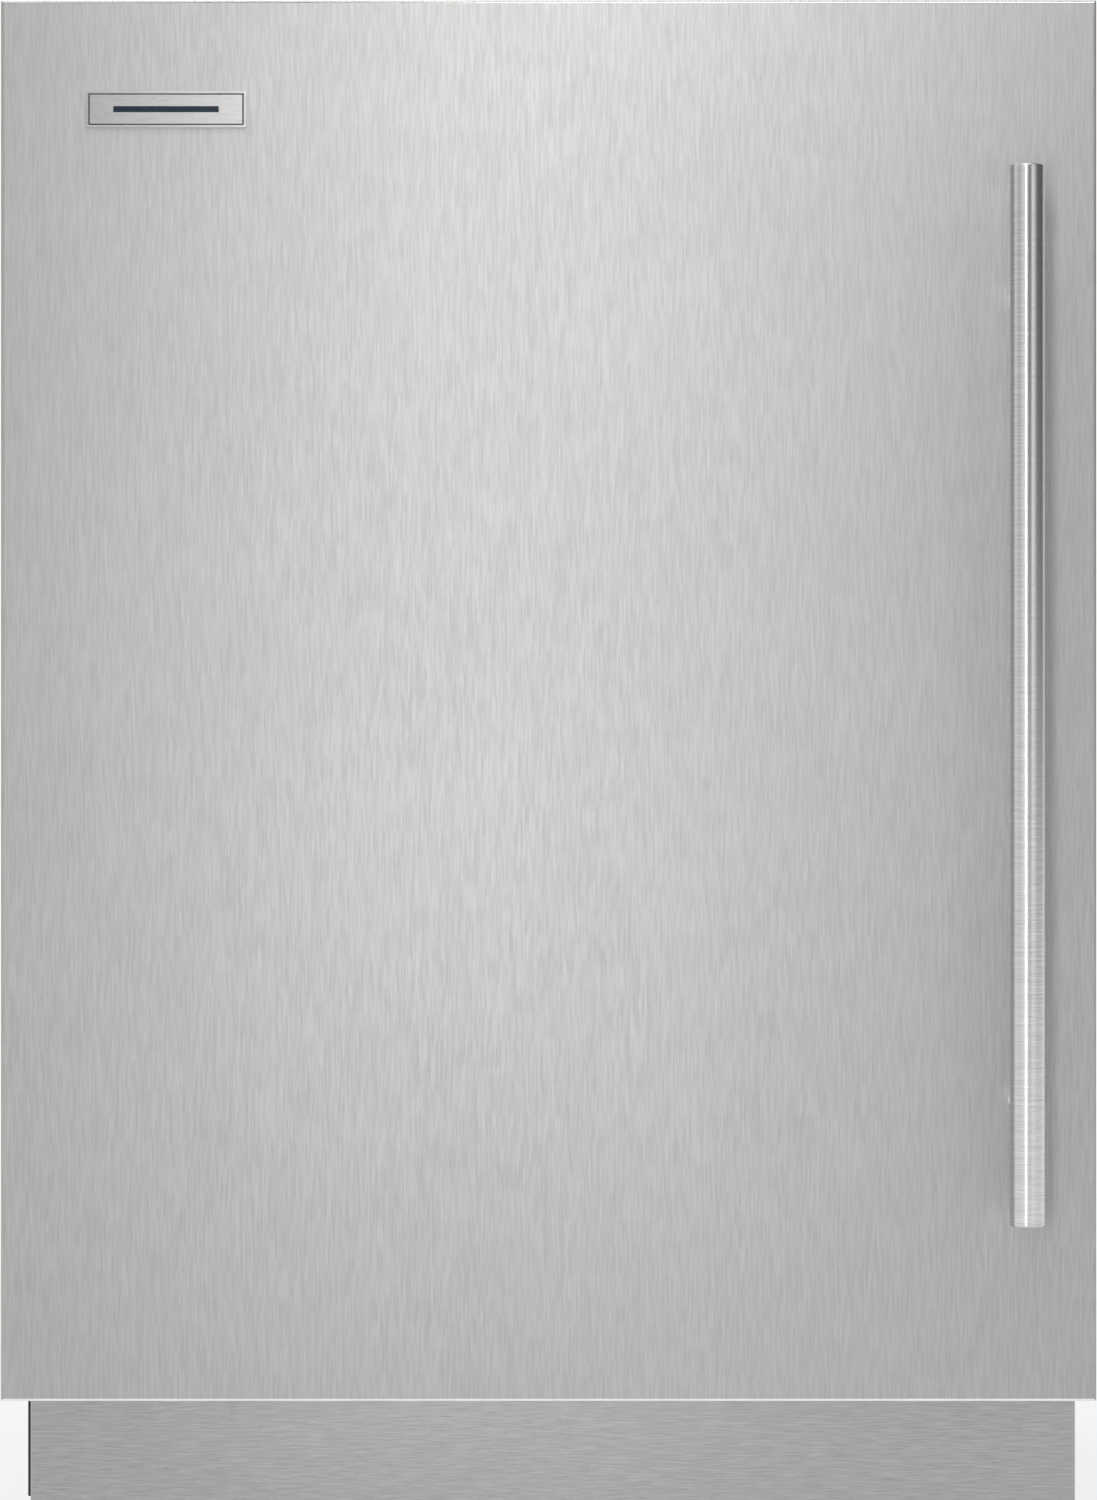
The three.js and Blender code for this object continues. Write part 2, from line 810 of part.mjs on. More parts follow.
const crisperClear = 3;
const crisperSpans = [
  [-halfFood + crisperClear, -crisperGap / 2],
  [crisperGap / 2, halfFood - crisperClear],
];

// A drawer with a grip lip along its top front edge.
function crisper([x0, x1]) {
  const y = [shelfFront + crisperGrip, humpFront - 6];
  const z = [foodBottom + runnerHeight + fit, crisperLedge - crisperTopGap];
  const grip = block([x0, x1], [y[0] - crisperGrip, y[0] + 1], [z[1] - 4, z[1]]);
  const lip = block([x0, x1], [y[0] - crisperGrip, y[0] - crisperGrip + crisperWall], [z[1] - 16, z[1]]);
  return sum(tub([x0, x1], y, z, crisperWall), grip, lip);
}

// ---------------------------------------------------------------- evaporator, cover and fan

const coverZ = [crisperLedge + shelfThick + returnGap, foodTop - coverTopGap];

// A tray over the evaporator: open below, where air goes in, and slotted where the fan blows.
function evaporatorCover() {
  const x = [-halfFood + coverInset, halfFood - coverInset];
  const t = coverSheet;
  const outlet = [-2, -1, 0, 1, 2].map((i) => {
    const rise = (i * 3 * fanRadius) / 8;
    const half = Math.sqrt(fanRadius ** 2 - rise ** 2);
    const z = fanHeight + rise;
    return block([-half, half], [coverFront - 1, coverFront + t + 1], [z - slotHalf, z + slotHalf]);
  });
  return less(
    block(x, [coverFront, foodBack - fit], coverZ),
    block([x[0] + t, x[1] - t], [coverFront + t, foodBack + 1], [coverZ[0] - 1, coverZ[1] - t]),
    ...outlet,
  );
}

// A roll-bonded plate: a flat sheet with a channel blown up in it, back and forth.
function evaporator() {
  const back = foodBack - 8;
  const bottom = coverZ[0] + 20;
  const plate = block(
    [-evaporatorHalf, evaporatorHalf],
    [back - evaporatorThick, back],
    [bottom, evaporatorTop],
  );
  const margin = 30;
  const pitch = (evaporatorTop - bottom - 2 * margin) / (channelPasses - 1);
  const reach = evaporatorHalf - margin;
  const route = [];
  for (let i = 0; i < channelPasses; i += 1) {
    const side = i % 2 ? 1 : -1;
    const z = bottom + margin + i * pitch;
    route.push([side * reach, back - evaporatorThick, z], [-side * reach, back - evaporatorThick, z]);
  }
  return sum(plate, tube(route, channelRadius, 44, 5));
}

// Blades on a hub with a shaft behind it, about +Z, the hub's front at z = 0.
function fanWheel(radius, blades, depth, shaft) {
  const hub = radius * 0.3;
  const chord = radius * 0.72;
  const parts = [
    bar("z", hub, [-depth, 0], [0, 0], 20),
    bar("z", shaftRadius, [-depth - shaft, -depth + 1], [0, 0], 10),
  ];
  for (let i = 0; i < blades; i += 1) {
    const g = new THREE.BoxGeometry(radius - hub * 0.7, chord, 1.6);
    g.translate((radius + hub * 0.7) / 2, 0, 0);
    g.rotateX(Math.asin((depth - 3) / chord));
    g.rotateZ((i * 2 * Math.PI) / blades);
    g.translate(0, 0, -depth / 2);
    parts.push(solidOf(g));
  }
  return sum(...parts).intersect(bar("z", radius, [-depth - shaft, 0], [0, 0], 32));
}

const fanFront = coverFront + coverSheet + 3;
const fanDepth = 12;
const shaftRadius = 2;
const shaftIn = 4; // how far a fan's shaft goes into its motor
const hubGap = 2; // a fan's hub to its motor

// The evaporator's fan blows forwards through the cover.
function evaporatorFan() {
  return fanWheel(fanRadius - 3, 5, fanDepth, hubGap + shaftIn)
    .rotate([90, 0, 0])
    .translate([0, fanFront, fanHeight]);
}

// Its motor, on a strap across the food space's back.
function evaporatorFanMotor() {
  const front = fanFront + fanDepth + hubGap;
  return less(
    sum(
      bar("y", 15, [front, foodBack - 2], [0, fanHeight], 20),
      block([-50, 50], [foodBack - 4, foodBack - fit], [fanHeight - 12, fanHeight + 12]),
    ),
    bar("y", shaftRadius + fit, [front - 1, front + shaftIn + 1], [0, fanHeight], 16),
  );
}

// ---------------------------------------------------------------- control panel and light

const panelZ = [foodTop - panelHeight - fit, foodTop - fit];
const buttonZ = (panelZ[0] + panelZ[1]) / 2;
const buttonPlaces = {
  power: displayHalf + 30,
  colder: displayHalf + 30 + buttonPitch,
  warmer: displayHalf + 30 + 2 * buttonPitch,
  alarm: displayHalf + 30 + 3 * buttonPitch,
};

function controlPanel() {
  const depth = buttonLength - buttonStand + buttonSpare;
  const bores = Object.values(buttonPlaces).map((x) =>
    bar("y", buttonRadius + buttonClear, [panelFront - 1, panelFront + depth], [x, buttonZ], 16),
  );
  return less(
    block([-panelHalf, panelHalf], [panelFront, panelBack], panelZ),
    block([-displayHalf, displayHalf], [panelFront - 1, panelFront + 1.5], [buttonZ - 9, buttonZ + 9]),
    ...bores,
  );
}

function pushButton(x) {
  const front = panelFront - buttonStand;
  return bar("y", buttonRadius, [front, front + buttonLength], [x, buttonZ], 16);
}

function displayWindow() {
  const x = displayHalf - fit;
  return block([-x, x], [panelFront - 0.4, panelFront + 1.5 - fit], [buttonZ - 9 + fit, buttonZ + 9 - fit]);
}

function lightLens() {
  const margin = 12;
  return block([-panelHalf + margin, panelHalf - margin], [panelFront + 20, panelFront + 44], [
    panelZ[0] - fit - 3,
    panelZ[0] - fit,
  ]);
}

// ---------------------------------------------------------------- machine space

const baseFloor = baseRise + baseSheet;
const coverY = [cabinetDepth - coverRecess - 1.2, cabinetDepth - coverRecess];
const machineY = [machineFront + sheet, coverY[0]];

// A louvred cover across the back of the machine space, cut out for the power inlet.
function rearCover() {
  const half = halfBase - baseSheet - fit;
  const through = [coverY[0] - 1, coverY[1] + 1];
  const z = [baseFloor + fit, machineTop - sheet - fit];
  const louvres = [condenserX + 70, compressorX].flatMap((x) =>
    Array.from({ length: louvreRows }, (_, i) => {
      const top = z[1] - 26 - i * louvrePitch;
      return block([x - louvreHalf, x + louvreHalf], through, [top - louvrePitch / 3, top]);
    }),
  );
  return less(block([-half, half], coverY, z), ...louvres, inletBody(fit, through));
}

const inletBody = (g, y) =>
  block([inletX - 19.5 - g, inletX + 19.5 + g], y, [inletZ - 12 - g, inletZ + 12 + g]);

// A three-pin inlet that snaps into the cover, its collar outside.
function powerInlet() {
  const collar = [coverY[1] + fit, coverY[1] + fit + 2];
  return less(
    sum(
      inletBody(0, [coverY[0] - 12, collar[1]]),
      block([inletX - 25, inletX + 25], collar, [inletZ - 16, inletZ + 16]),
    ),
    block([inletX - 12.5, inletX + 12.5], [coverY[0] - 9, collar[1] + 1], [inletZ - 8, inletZ + 8]),
  );
}

// A hat-section rail across the tray that the compressor is bolted to.
function compressorRail() {
  const x = [compressorX - 95, compressorX + 95];
  const y = [condenserY - 45, condenserY + 45];
  const z = [baseFloor + fit, baseFloor + railHeight];
  return less(
    block(x, y, z),
    block([x[0] - 1, x[1] + 1], [y[0] + 2, y[1] - 2], [z[0] - 1, z[1] - 2]),
  );
}

// A welded steel shell on a foot plate, with its terminal box and tube stubs.
function compressor() {
  const [r, h] = [compressorRadius, compressorHeight];
  const seam = h * 0.55;
  const shell = turned(
    [
      [0, 4],
      [r * 0.62, 4],
      [r * 0.88, h * 0.1],
      [r * 0.97, h * 0.22],
      [r * 0.97, seam - 3],
      [r * 1.03, seam - 3],
      [r * 1.03, seam + 3],
      [r * 0.97, seam + 3],
      [r * 0.93, h * 0.78],
      [r * 0.74, h * 0.92],
      [r * 0.4, h * 0.99],
      [0, h],
    ],
    28,
  ).scale([compressorStretch, 1, 1]);
  const foot = block([-88, 88], [-40, 40], [0, 6]);
  const terminals = block([-r * 1.4, -r * 1.1], [-22, 22], [h * 0.3, h * 0.62]);
  return sum(shell, foot, terminals).translate([compressorX, condenserY, compressorZ]);
}

const condenserZ = [baseFloor + 12, machineTop - 30];
const condenserSpan = [machineY[0] + 16, machineY[1] - 16];

// Flat tubes between two upright headers, across the air's path.
function condenser() {
  const z = condenserZ;
  const pitch = (z[1] - z[0]) / condenserTubes;
  const headers = condenserSpan.map((y) => bar("z", headerRadius, z, [condenserX, y], 12));
  const tubes = Array.from({ length: condenserTubes }, (_, i) => {
    const at = z[0] + (i + 0.5) * pitch;
    const half = condenserThick / 2 - 3;
    return block([condenserX - half, condenserX + half], condenserSpan, [at - 1, at + 1]);
  });
  return sum(...headers, ...tubes);
}

const shroudX = condenserX + condenserThick / 2 + 8;
const condenserFanZ = (condenserZ[0] + condenserZ[1]) / 2;
const condenserFanX = shroudX + 2;
const condenserFanDepth = 16;
const spiderX = [condenserFanX + condenserFanDepth + 4, condenserFanX + condenserFanDepth + 7];
const motorFront = spiderX[1] + fit;

// A plate with a round throat, and a spider across it that carries the motor.
function fanShroud() {
  const x = [shroudX, shroudX + shroudThick];
  const at = [condenserY, condenserFanZ];
  const throat = condenserFanRadius + 5;
  const armY = [at[0] - 5, at[0] + 5];
  const reach = throat + 6;
  const arms = [
    block(spiderX, armY, [at[1] - reach, at[1] + reach]),
    block([x[1] - 1, spiderX[1]], armY, [at[1] - reach, at[1] - throat - 2]),
    block([x[1] - 1, spiderX[1]], armY, [at[1] + throat + 2, at[1] + reach]),
  ];
  const plate = less(
    block(x, [condenserSpan[0] + 4, condenserSpan[1] - 4], [condenserZ[0], condenserZ[1]]),
    bar("x", throat, [x[0] - 1, x[1] + 1], at, 32),
  );
  const disc = bar("x", motorRadius, spiderX, at, 20);
  const bore = bar("x", 3 * shaftRadius, [spiderX[0] - 1, spiderX[1] + 1], at, 12);
  return less(sum(plate, disc, ...arms), bore);
}

function condenserFan() {
  const shaft = motorFront + shaftIn - condenserFanX - condenserFanDepth;
  return fanWheel(condenserFanRadius, 5, condenserFanDepth, shaft)
    .rotate([0, -90, 0])
    .translate([condenserFanX, condenserY, condenserFanZ]);
}

function condenserFanMotor() {
  const at = [condenserY, condenserFanZ];
  const body = [motorFront, motorFront + 30];
  return less(
    sum(bar("x", motorRadius, body, at, 20), bar("x", 12, [body[1] - 1, body[1] + 6], at, 16)),
    bar("x", shaftRadius + fit, [motorFront - 1, motorFront + shaftIn + 1], at, 16),
  );
}

// A shallow tray on top of the compressor, whose warmth dries what drips into it.
function dripTray() {
  const z = compressorZ + compressorHeight + fit;
  const x = [compressorX - trayHalf[0], compressorX + trayHalf[0]];
  const y = [condenserY - trayHalf[1], condenserY + trayHalf[1]];
  return tub(x, y, [z, z + trayHeight], 1.6);
}

function controlBox() {
  const x = [compressorX - 220, compressorX - 140];
  const y = [condenserY - 40, condenserY + 50];
  return sum(
    block(x, y, [baseFloor + fit, baseFloor + 70]),
    block([x[0] + 4, x[1] - 4], [y[0] + 4, y[1] - 4], [baseFloor + 69, baseFloor + 73]),
  );
}

// Where the shell's side is on the oval's short axis, and how far forward it is beside that.
const shellSide = compressorRadius * 0.97;
const shellFrontAt = (x) => shellSide * Math.sqrt(1 - (x / (shellSide * compressorStretch)) ** 2);

// Hot gas from the compressor's shoulder, along the machine space to the condenser.
function dischargeLine() {
  const aside = 20;
  const x = compressorX - aside;
  const y = machineY[0] + 8;
  const z = compressorZ + compressorHeight * 0.4;
  const top = condenserZ[1] + 8;
  return tube(
    [
      [x, condenserY - shellFrontAt(aside + tubeRadius) - tubeClear, z],
      [x - 4, y + 6, z + 4],
      [x - 14, y, z + 26],
      [x - 44, y, top - 8],
      [x - 90, y, top],
      [(compressorX + 2 * condenserX) / 3, y, top],
      [condenserX + 40, y, top],
      [condenserX + 6, condenserSpan[0] - 1, top - 1],
    ],
    tubeRadius,
    36,
    6,
  );
}

// Cold gas back from the evaporator, down beside the compressor and into its side.
function suctionLine() {
  const x = compressorX + 1.03 * compressorRadius * compressorStretch + suctionClear;
  const y = machineY[0] + 40;
  const shellX = compressorX + shellSide * compressorStretch;
  const end = [shellX + 2, condenserY, compressorZ + compressorHeight * 0.4];
  return tube(
    [
      [x, y, machineTop - sheet - fit - 1],
      [x, y + 4, machineTop - 36],
      [x + 2, y + 28, machineTop - 76],
      [x - 2, end[1] - 4, end[2] + 38],
      [x - 14, end[1], end[2] + 6],
      end,
    ],
    tubeRadius + 1.4,
    26,
    6,
  );
}

// ---------------------------------------------------------------- assembly

add("outer_wrapper", outerWrapper(), paintedSteel);
add("floor_sheet", floorSheet(), paintedSteel);
add("back_sheet", backSheet(), zincSteel);
add("cabinet_insulation", cabinetInsulation(), foam);
add("inner_liner", innerLiner(), whitePlastic);

add("base_tray", baseTray(), blackSteel);
add("base_grille", baseGrille(), blackPlastic);
add("kick_plate", kickPlate(), darkSteel);
for (const [place, at] of Object.entries(legPlaces)) {
  add(`leg_${place}`, levellingLeg(at), zincSteel);
}

add("door_skin", doorSkin(), brushedSteel);
add("door_insulation", doorInsulation(), foam);
add("door_liner", doorLiner(), whitePlastic);
add("door_gasket", doorGasket(), rubber);
add("hinge_bracket_top", hingeBracket(armZ.top, -1), zincSteel);
add("hinge_bracket_bottom", hingeBracket(armZ.bottom, 1), zincSteel);
add("hinge_bearing_top", hingeBearing(bearingZ.top), greyPlastic);
add("hinge_bearing_bottom", hingeBearing(bearingZ.bottom), greyPlastic);
add("handle_bar", handleBar(), brushedSteel);
add("handle_post_top", handlePost(1), brushedSteel);
add("handle_post_bottom", handlePost(-1), brushedSteel);
add("badge_plate", badgePlate(), brushedSteel);

add("bin_lower", doorBin(binLowerBase, binLowerHeight), clearPlastic);
add("bin_upper", doorBin(binUpperBase, binUpperHeight), clearPlastic);
add("dairy_box", dairyBox(), clearPlastic);
add("dairy_lid", dairyLid(), clearPlastic);

const shelfBases = {
  shelf_lower: ledgeTops[lowerShelfLedge] + fit,
  shelf_upper: ledgeTops[upperShelfLedge] + fit,
  crisper_cover: crisperLedge + fit,
};
for (const [name, base] of Object.entries(shelfBases)) {
  add(`${name}_frame`, shelfFrame(base), whitePlastic);
  add(`${name}_glass`, shelfGlass(base), glass);
}
add("crisper_left", crisper(crisperSpans[0]), clearPlastic);
add("crisper_right", crisper(crisperSpans[1]), clearPlastic);

add("evaporator", evaporator(), aluminium);
add("evaporator_cover", evaporatorCover(), whitePlastic);
add("evaporator_fan", evaporatorFan(), greyPlastic);
add("evaporator_fan_motor", evaporatorFanMotor(), blackPlastic);

add("control_panel", controlPanel(), greyPlastic);
for (const [name, x] of Object.entries(buttonPlaces)) {
  add(`button_${name}`, pushButton(x), whitePlastic);
}
add("display_window", displayWindow(), blackPlastic);
add("light_lens", lightLens(), whitePlastic);

add("rear_cover", rearCover(), blackSteel);
add("power_inlet", powerInlet(), blackPlastic);
add("compressor_rail", compressorRail(), zincSteel);
add("compressor", compressor(), blackSteel);
add("condenser", condenser(), aluminium);
add("condenser_fan_shroud", fanShroud(), blackPlastic);
add("condenser_fan", condenserFan(), greyPlastic);
add("condenser_fan_motor", condenserFanMotor(), blackPlastic);
add("drip_tray", dripTray(), blackPlastic);
add("control_box", controlBox(), greyPlastic);
add("discharge_line", dischargeLine(), copper);
add("suction_line", suctionLine(), copper);

// The footprint's centre: from the handle's front to the cabinet's back.
fridge.position.y = -(handleY - handleRadius + cabinetDepth) / 2;

export default fridge;
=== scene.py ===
import math

import bmesh
import bpy
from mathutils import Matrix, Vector


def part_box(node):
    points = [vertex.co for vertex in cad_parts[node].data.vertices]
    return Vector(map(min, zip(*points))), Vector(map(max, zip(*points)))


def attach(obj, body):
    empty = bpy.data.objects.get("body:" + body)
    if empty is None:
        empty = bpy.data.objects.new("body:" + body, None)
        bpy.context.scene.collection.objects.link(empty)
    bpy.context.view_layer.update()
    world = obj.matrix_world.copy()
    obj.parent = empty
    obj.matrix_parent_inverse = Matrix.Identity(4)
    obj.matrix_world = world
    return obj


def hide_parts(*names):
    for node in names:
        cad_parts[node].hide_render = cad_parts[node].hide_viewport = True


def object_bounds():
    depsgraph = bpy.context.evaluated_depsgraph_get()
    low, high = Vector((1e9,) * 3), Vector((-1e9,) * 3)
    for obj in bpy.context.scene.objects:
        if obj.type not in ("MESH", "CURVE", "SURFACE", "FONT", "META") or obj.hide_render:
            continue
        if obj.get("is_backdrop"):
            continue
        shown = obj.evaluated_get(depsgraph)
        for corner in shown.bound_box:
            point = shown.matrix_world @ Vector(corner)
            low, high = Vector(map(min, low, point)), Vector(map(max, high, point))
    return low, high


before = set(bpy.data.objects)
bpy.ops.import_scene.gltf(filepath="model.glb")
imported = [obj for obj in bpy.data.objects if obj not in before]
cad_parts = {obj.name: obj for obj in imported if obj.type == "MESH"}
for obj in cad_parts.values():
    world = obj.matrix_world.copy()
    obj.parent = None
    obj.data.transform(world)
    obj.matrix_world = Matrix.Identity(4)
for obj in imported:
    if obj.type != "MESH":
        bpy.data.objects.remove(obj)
cad_low, cad_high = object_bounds()

# ---- The camera stands level in front of the door, a little to the right of its middle.
# Its view is as wide as the door and a little taller, with the door at the top.
door_low, door_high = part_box("door_skin")
camera_distance = 2.8
camera_right = 0.035
door_share_of_view = 0.9343
view_height = (door_high.z - door_low.z) / door_share_of_view
sensor = 36.0
camera = bpy.data.objects.new("camera", bpy.data.cameras.new("camera"))
bpy.context.scene.collection.objects.link(camera)
bpy.context.scene.camera = camera
camera.location = (camera_right, door_low.y - camera_distance, door_high.z - view_height / 2)
camera.rotation_euler = (math.radians(90), 0, 0)
camera.data.sensor_width = sensor
camera.data.lens = sensor * camera_distance / view_height
camera.data.shift_x = -camera_right / view_height
bpy.context.scene.view_settings.view_transform = "Standard"


# ---- The light is soft studio light: an upright softbox a little left of the door's middle,
# which throws the handle's shadow to the right, a square one higher up, and large ones above
# and behind the object.
def softbox(name, place, target, width, height, watts):
    light = bpy.data.lights.new(name, "AREA")
    light.shape = "RECTANGLE"
    light.size, light.size_y = width, height
    light.energy = watts
    lamp = bpy.data.objects.new(name, light)
    bpy.context.scene.collection.objects.link(lamp)
    lamp.location = place
    toward = Vector(target) - Vector(place)
    lamp.rotation_euler = toward.to_track_quat("-Z", "Y").to_euler()
    lamp.visible_camera = False
    return lamp


softbox("front_light", (-0.08, -2.0, 0.8), (-0.08, 0, 0.8), 0.2, 1.5, 4.9)
softbox("high_light", (0.15, -2.0, 1.5), (0.1, 0, 0.6), 0.6, 0.4, 3.0)
softbox("top_light", (0, -1.8, 2.8), (0, 0, 0.45), 2.0, 1.0, 30)
softbox("back_light", (-1.0, 3.0, 1.2), (0, 0, 0.45), 2.4, 2.0, 30)


# ---- The air: white to the camera all round. Metal and glass show the same white where they
# face what is behind the object, and elsewhere the studio's walls: pale at the far left, a
# bright panel at each side of the camera, and dim to the right. Everything else gets a plain
# level.
def node(tree, kind, operation=None, **values):
    """A new shader node, with its operation and the values of its sockets set."""
    made = tree.nodes.new("ShaderNode" + kind)
    if operation:
        made.operation = operation
    for socket, value in values.items():
        made.inputs[socket.replace("_", " ")].default_value = value
    return made


def wire(tree, *links):
    """Links each (node, output, node, input)."""
    for source, output, target, socket in links:
        tree.links.new(source.outputs[output], target.inputs[socket])


def seen_white(tree):
    """The light path, and a value that is 1 for what the camera, metal or glass looks at."""
    path = node(tree, "LightPath")
    shiny = node(tree, "Math", "MAXIMUM")
    either = node(tree, "Math", "MAXIMUM")
    wire(
        tree,
        (path, "Is Glossy Ray", shiny, 0),
        (path, "Is Transmission Ray", shiny, 1),
        (path, "Is Camera Ray", either, 0),
        (shiny, 0, either, 1),
    )
    return path, either


plain_level = 0.5
brightest_wall = 1.2
walls = [
    (-180, 1.2),
    (-90, 0.9),
    (-60, 0.5),
    (-45, 0.6),
    (-30, 1.0),
    (-18, 0),
    (18, 0),
    (30, 1.2),
    (45, 0.7),
    (60, 0.1),
    (180, 0.05),
]
world = bpy.data.worlds.new("studio")
bpy.context.scene.world = world
world.use_nodes = True
air = world.node_tree
air.nodes.clear()
world_out = node(air, "OutputWorld")
plain_air = node(air, "Background", Strength=plain_level)
white_air = node(air, "Background", Strength=1.0)
mirrored_air = node(air, "Background")
for each in (plain_air, white_air, mirrored_air):
    each.inputs["Color"].default_value = (1, 1, 1, 1)
direction = node(air, "TexCoord")
split = node(air, "SeparateXYZ")
toward_back = node(air, "Math", "MULTIPLY")
toward_back.inputs[1].default_value = -1
bearing = node(air, "Math", "ARCTAN2")
turn = node(air, "MapRange", From_Min=-math.pi, From_Max=math.pi)
wall = node(air, "ValToRGB")
stops = wall.color_ramp.elements
for number, (degrees, level) in enumerate(walls):
    stop = stops[number] if number < 2 else stops.new(1)
    stop.position = degrees / 360 + 0.5
    stop.color = (*[level / brightest_wall] * 3, 1)
room = node(air, "Math", "MULTIPLY")
room.inputs[1].default_value = brightest_wall
behind = node(air, "MapRange", From_Min=0.3, From_Max=0.9, To_Max=1.0)
behind.interpolation_type = "SMOOTHSTEP"
wire(
    air,
    (direction, "Generated", split, 0),
    (split, "Y", toward_back, 0),
    (split, "X", bearing, 0),
    (toward_back, 0, bearing, 1),
    (bearing, 0, turn, "Value"),
    (turn, "Result", wall, 0),
    (wall, 0, room, 0),
    (split, "Y", behind, "Value"),
    (room, 0, behind, "To Min"),
    (behind, "Result", mirrored_air, "Strength"),
)
path, either = seen_white(air)
see = node(air, "MixShader")
choose = node(air, "MixShader")
wire(
    air,
    (path, "Is Camera Ray", see, 0),
    (mirrored_air, 0, see, 1),
    (white_air, 0, see, 2),
    (either, 0, choose, 0),
    (plain_air, 0, choose, 1),
    (see, 0, choose, 2),
    (choose, 0, world_out, "Surface"),
)


# ---- The floor is a pale seamless sheet. Seen by the camera, metal or glass, much of it is
# plain white, and the rest is its own paint, which keeps the object's shadow. It turns all
# white a few steps from the object, so that it meets the air with no line.
def new_material(name, metallic=0.0, roughness=0.5):
    """A material, its node tree and its shader, with the shader's own sockets set."""
    made = bpy.data.materials.new(name)
    made.use_nodes = True
    shader = made.node_tree.nodes["Principled BSDF"]
    shader.inputs["Metallic"].default_value = metallic
    shader.inputs["Roughness"].default_value = roughness
    return made, made.node_tree, shader


floor_size = 60
floor_white_share = 0.8
shadow_reach = (0.8, 2.2)
bpy.ops.object.select_all(action="DESELECT")
bpy.ops.mesh.primitive_plane_add(size=floor_size)
floor = bpy.context.object
floor.name = "floor"
pale, tree, paint = new_material("floor_paint", roughness=0.9)
paint.inputs["Base Color"].default_value = (0.9, 0.9, 0.9, 1)
glow = node(tree, "Emission", Color=(1, 1, 1, 1))
either = seen_white(tree)[1]
spot = node(tree, "TexCoord")
away = node(tree, "VectorMath", "LENGTH")
near, far = shadow_reach
whiten = node(tree, "MapRange", From_Min=near, From_Max=far, To_Min=floor_white_share, To_Max=1.0)
whiten.interpolation_type = "SMOOTHSTEP"
share = node(tree, "Math", "MULTIPLY")
mixed = node(tree, "MixShader")
wire(
    tree,
    (spot, "Object", away, 0),
    (away, "Value", whiten, "Value"),
    (whiten, "Result", share, 1),
    (either, 0, share, 0),
    (share, 0, mixed, 0),
    (paint, 0, mixed, 1),
    (glow, 0, mixed, 2),
    (mixed, 0, tree.nodes["Material Output"], "Surface"),
)
floor.data.materials.append(pale)
floor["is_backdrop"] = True


# ---- The levelling legs are turned steel feet with a plastic pad under each, on threaded
# stems that screw up into the bosses of the base tray.
mm = 0.001


def drawn(*way):
    """Draws what is selected in the open mesh out along (x, y, z)."""
    bpy.ops.mesh.extrude_region_move(TRANSFORM_OT_translate={"value": way})


def turned(name, foot, profile, toward=(0, 0, 1), sides=48):
    """A round piece: a disc extruded and drawn in or out, step by step, along (radius, height)."""
    bpy.ops.object.select_all(action="DESELECT")
    radius, height = profile[0]
    bpy.ops.mesh.primitive_circle_add(
        vertices=sides, radius=radius, fill_type="NGON", location=(0, 0, height)
    )
    piece = bpy.context.object
    piece.name = name
    bpy.ops.object.transform_apply(location=True, rotation=False, scale=False)
    bpy.ops.object.mode_set(mode="EDIT")
    bpy.ops.mesh.select_all(action="SELECT")
    for next_radius, next_height in profile[1:]:
        drawn(0, 0, next_height - height)
        ratio = next_radius / radius
        bpy.ops.transform.resize(value=(ratio, ratio, 1), center_override=(0, 0, next_height))
        radius, height = next_radius, next_height
    bpy.ops.mesh.select_all(action="SELECT")
    bpy.ops.mesh.normals_make_consistent(inside=False)
    bpy.ops.object.mode_set(mode="OBJECT")
    piece.rotation_euler = Vector(toward).to_track_quat("Z", "Y").to_euler()
    piece.location = foot
    bpy.ops.object.transform_apply(location=True, rotation=True, scale=True)
    return piece


def only(piece):
    """Makes one piece the only thing selected."""
    bpy.ops.object.select_all(action="DESELECT")
    piece.select_set(True)
    bpy.context.view_layer.objects.active = piece


def modified(piece, kind, **settings):
    """Applies one modifier to a piece, with its settings."""
    only(piece)
    change = piece.modifiers.new("change", kind)
    for setting, value in settings.items():
        setattr(change, setting, value)
    bpy.ops.object.modifier_apply(modifier=change.name)
    return piece


def smoothed(piece, angle=50):
    """Shades a piece smooth across its rounds, with its flat faces kept flat."""
    only(piece)
    bpy.ops.object.shade_smooth_by_angle(angle=math.radians(angle))
    return modified(piece, "WEIGHTED_NORMAL", keep_sharp=True)


def softened(piece, width, segments=2):
    """Rounds a piece's sharp edges by a width, and shades it smooth."""
    sharp = math.radians(35)
    modified(piece, "BEVEL", width=width, segments=segments, limit_method="ANGLE", angle_limit=sharp)
    return smoothed(piece)


def joined(name, pieces):
    """Several pieces as one."""
    only(pieces[0])
    for piece in pieces:
        piece.select_set(True)
    bpy.ops.object.join()
    pieces[0].name = name
    return pieces[0]


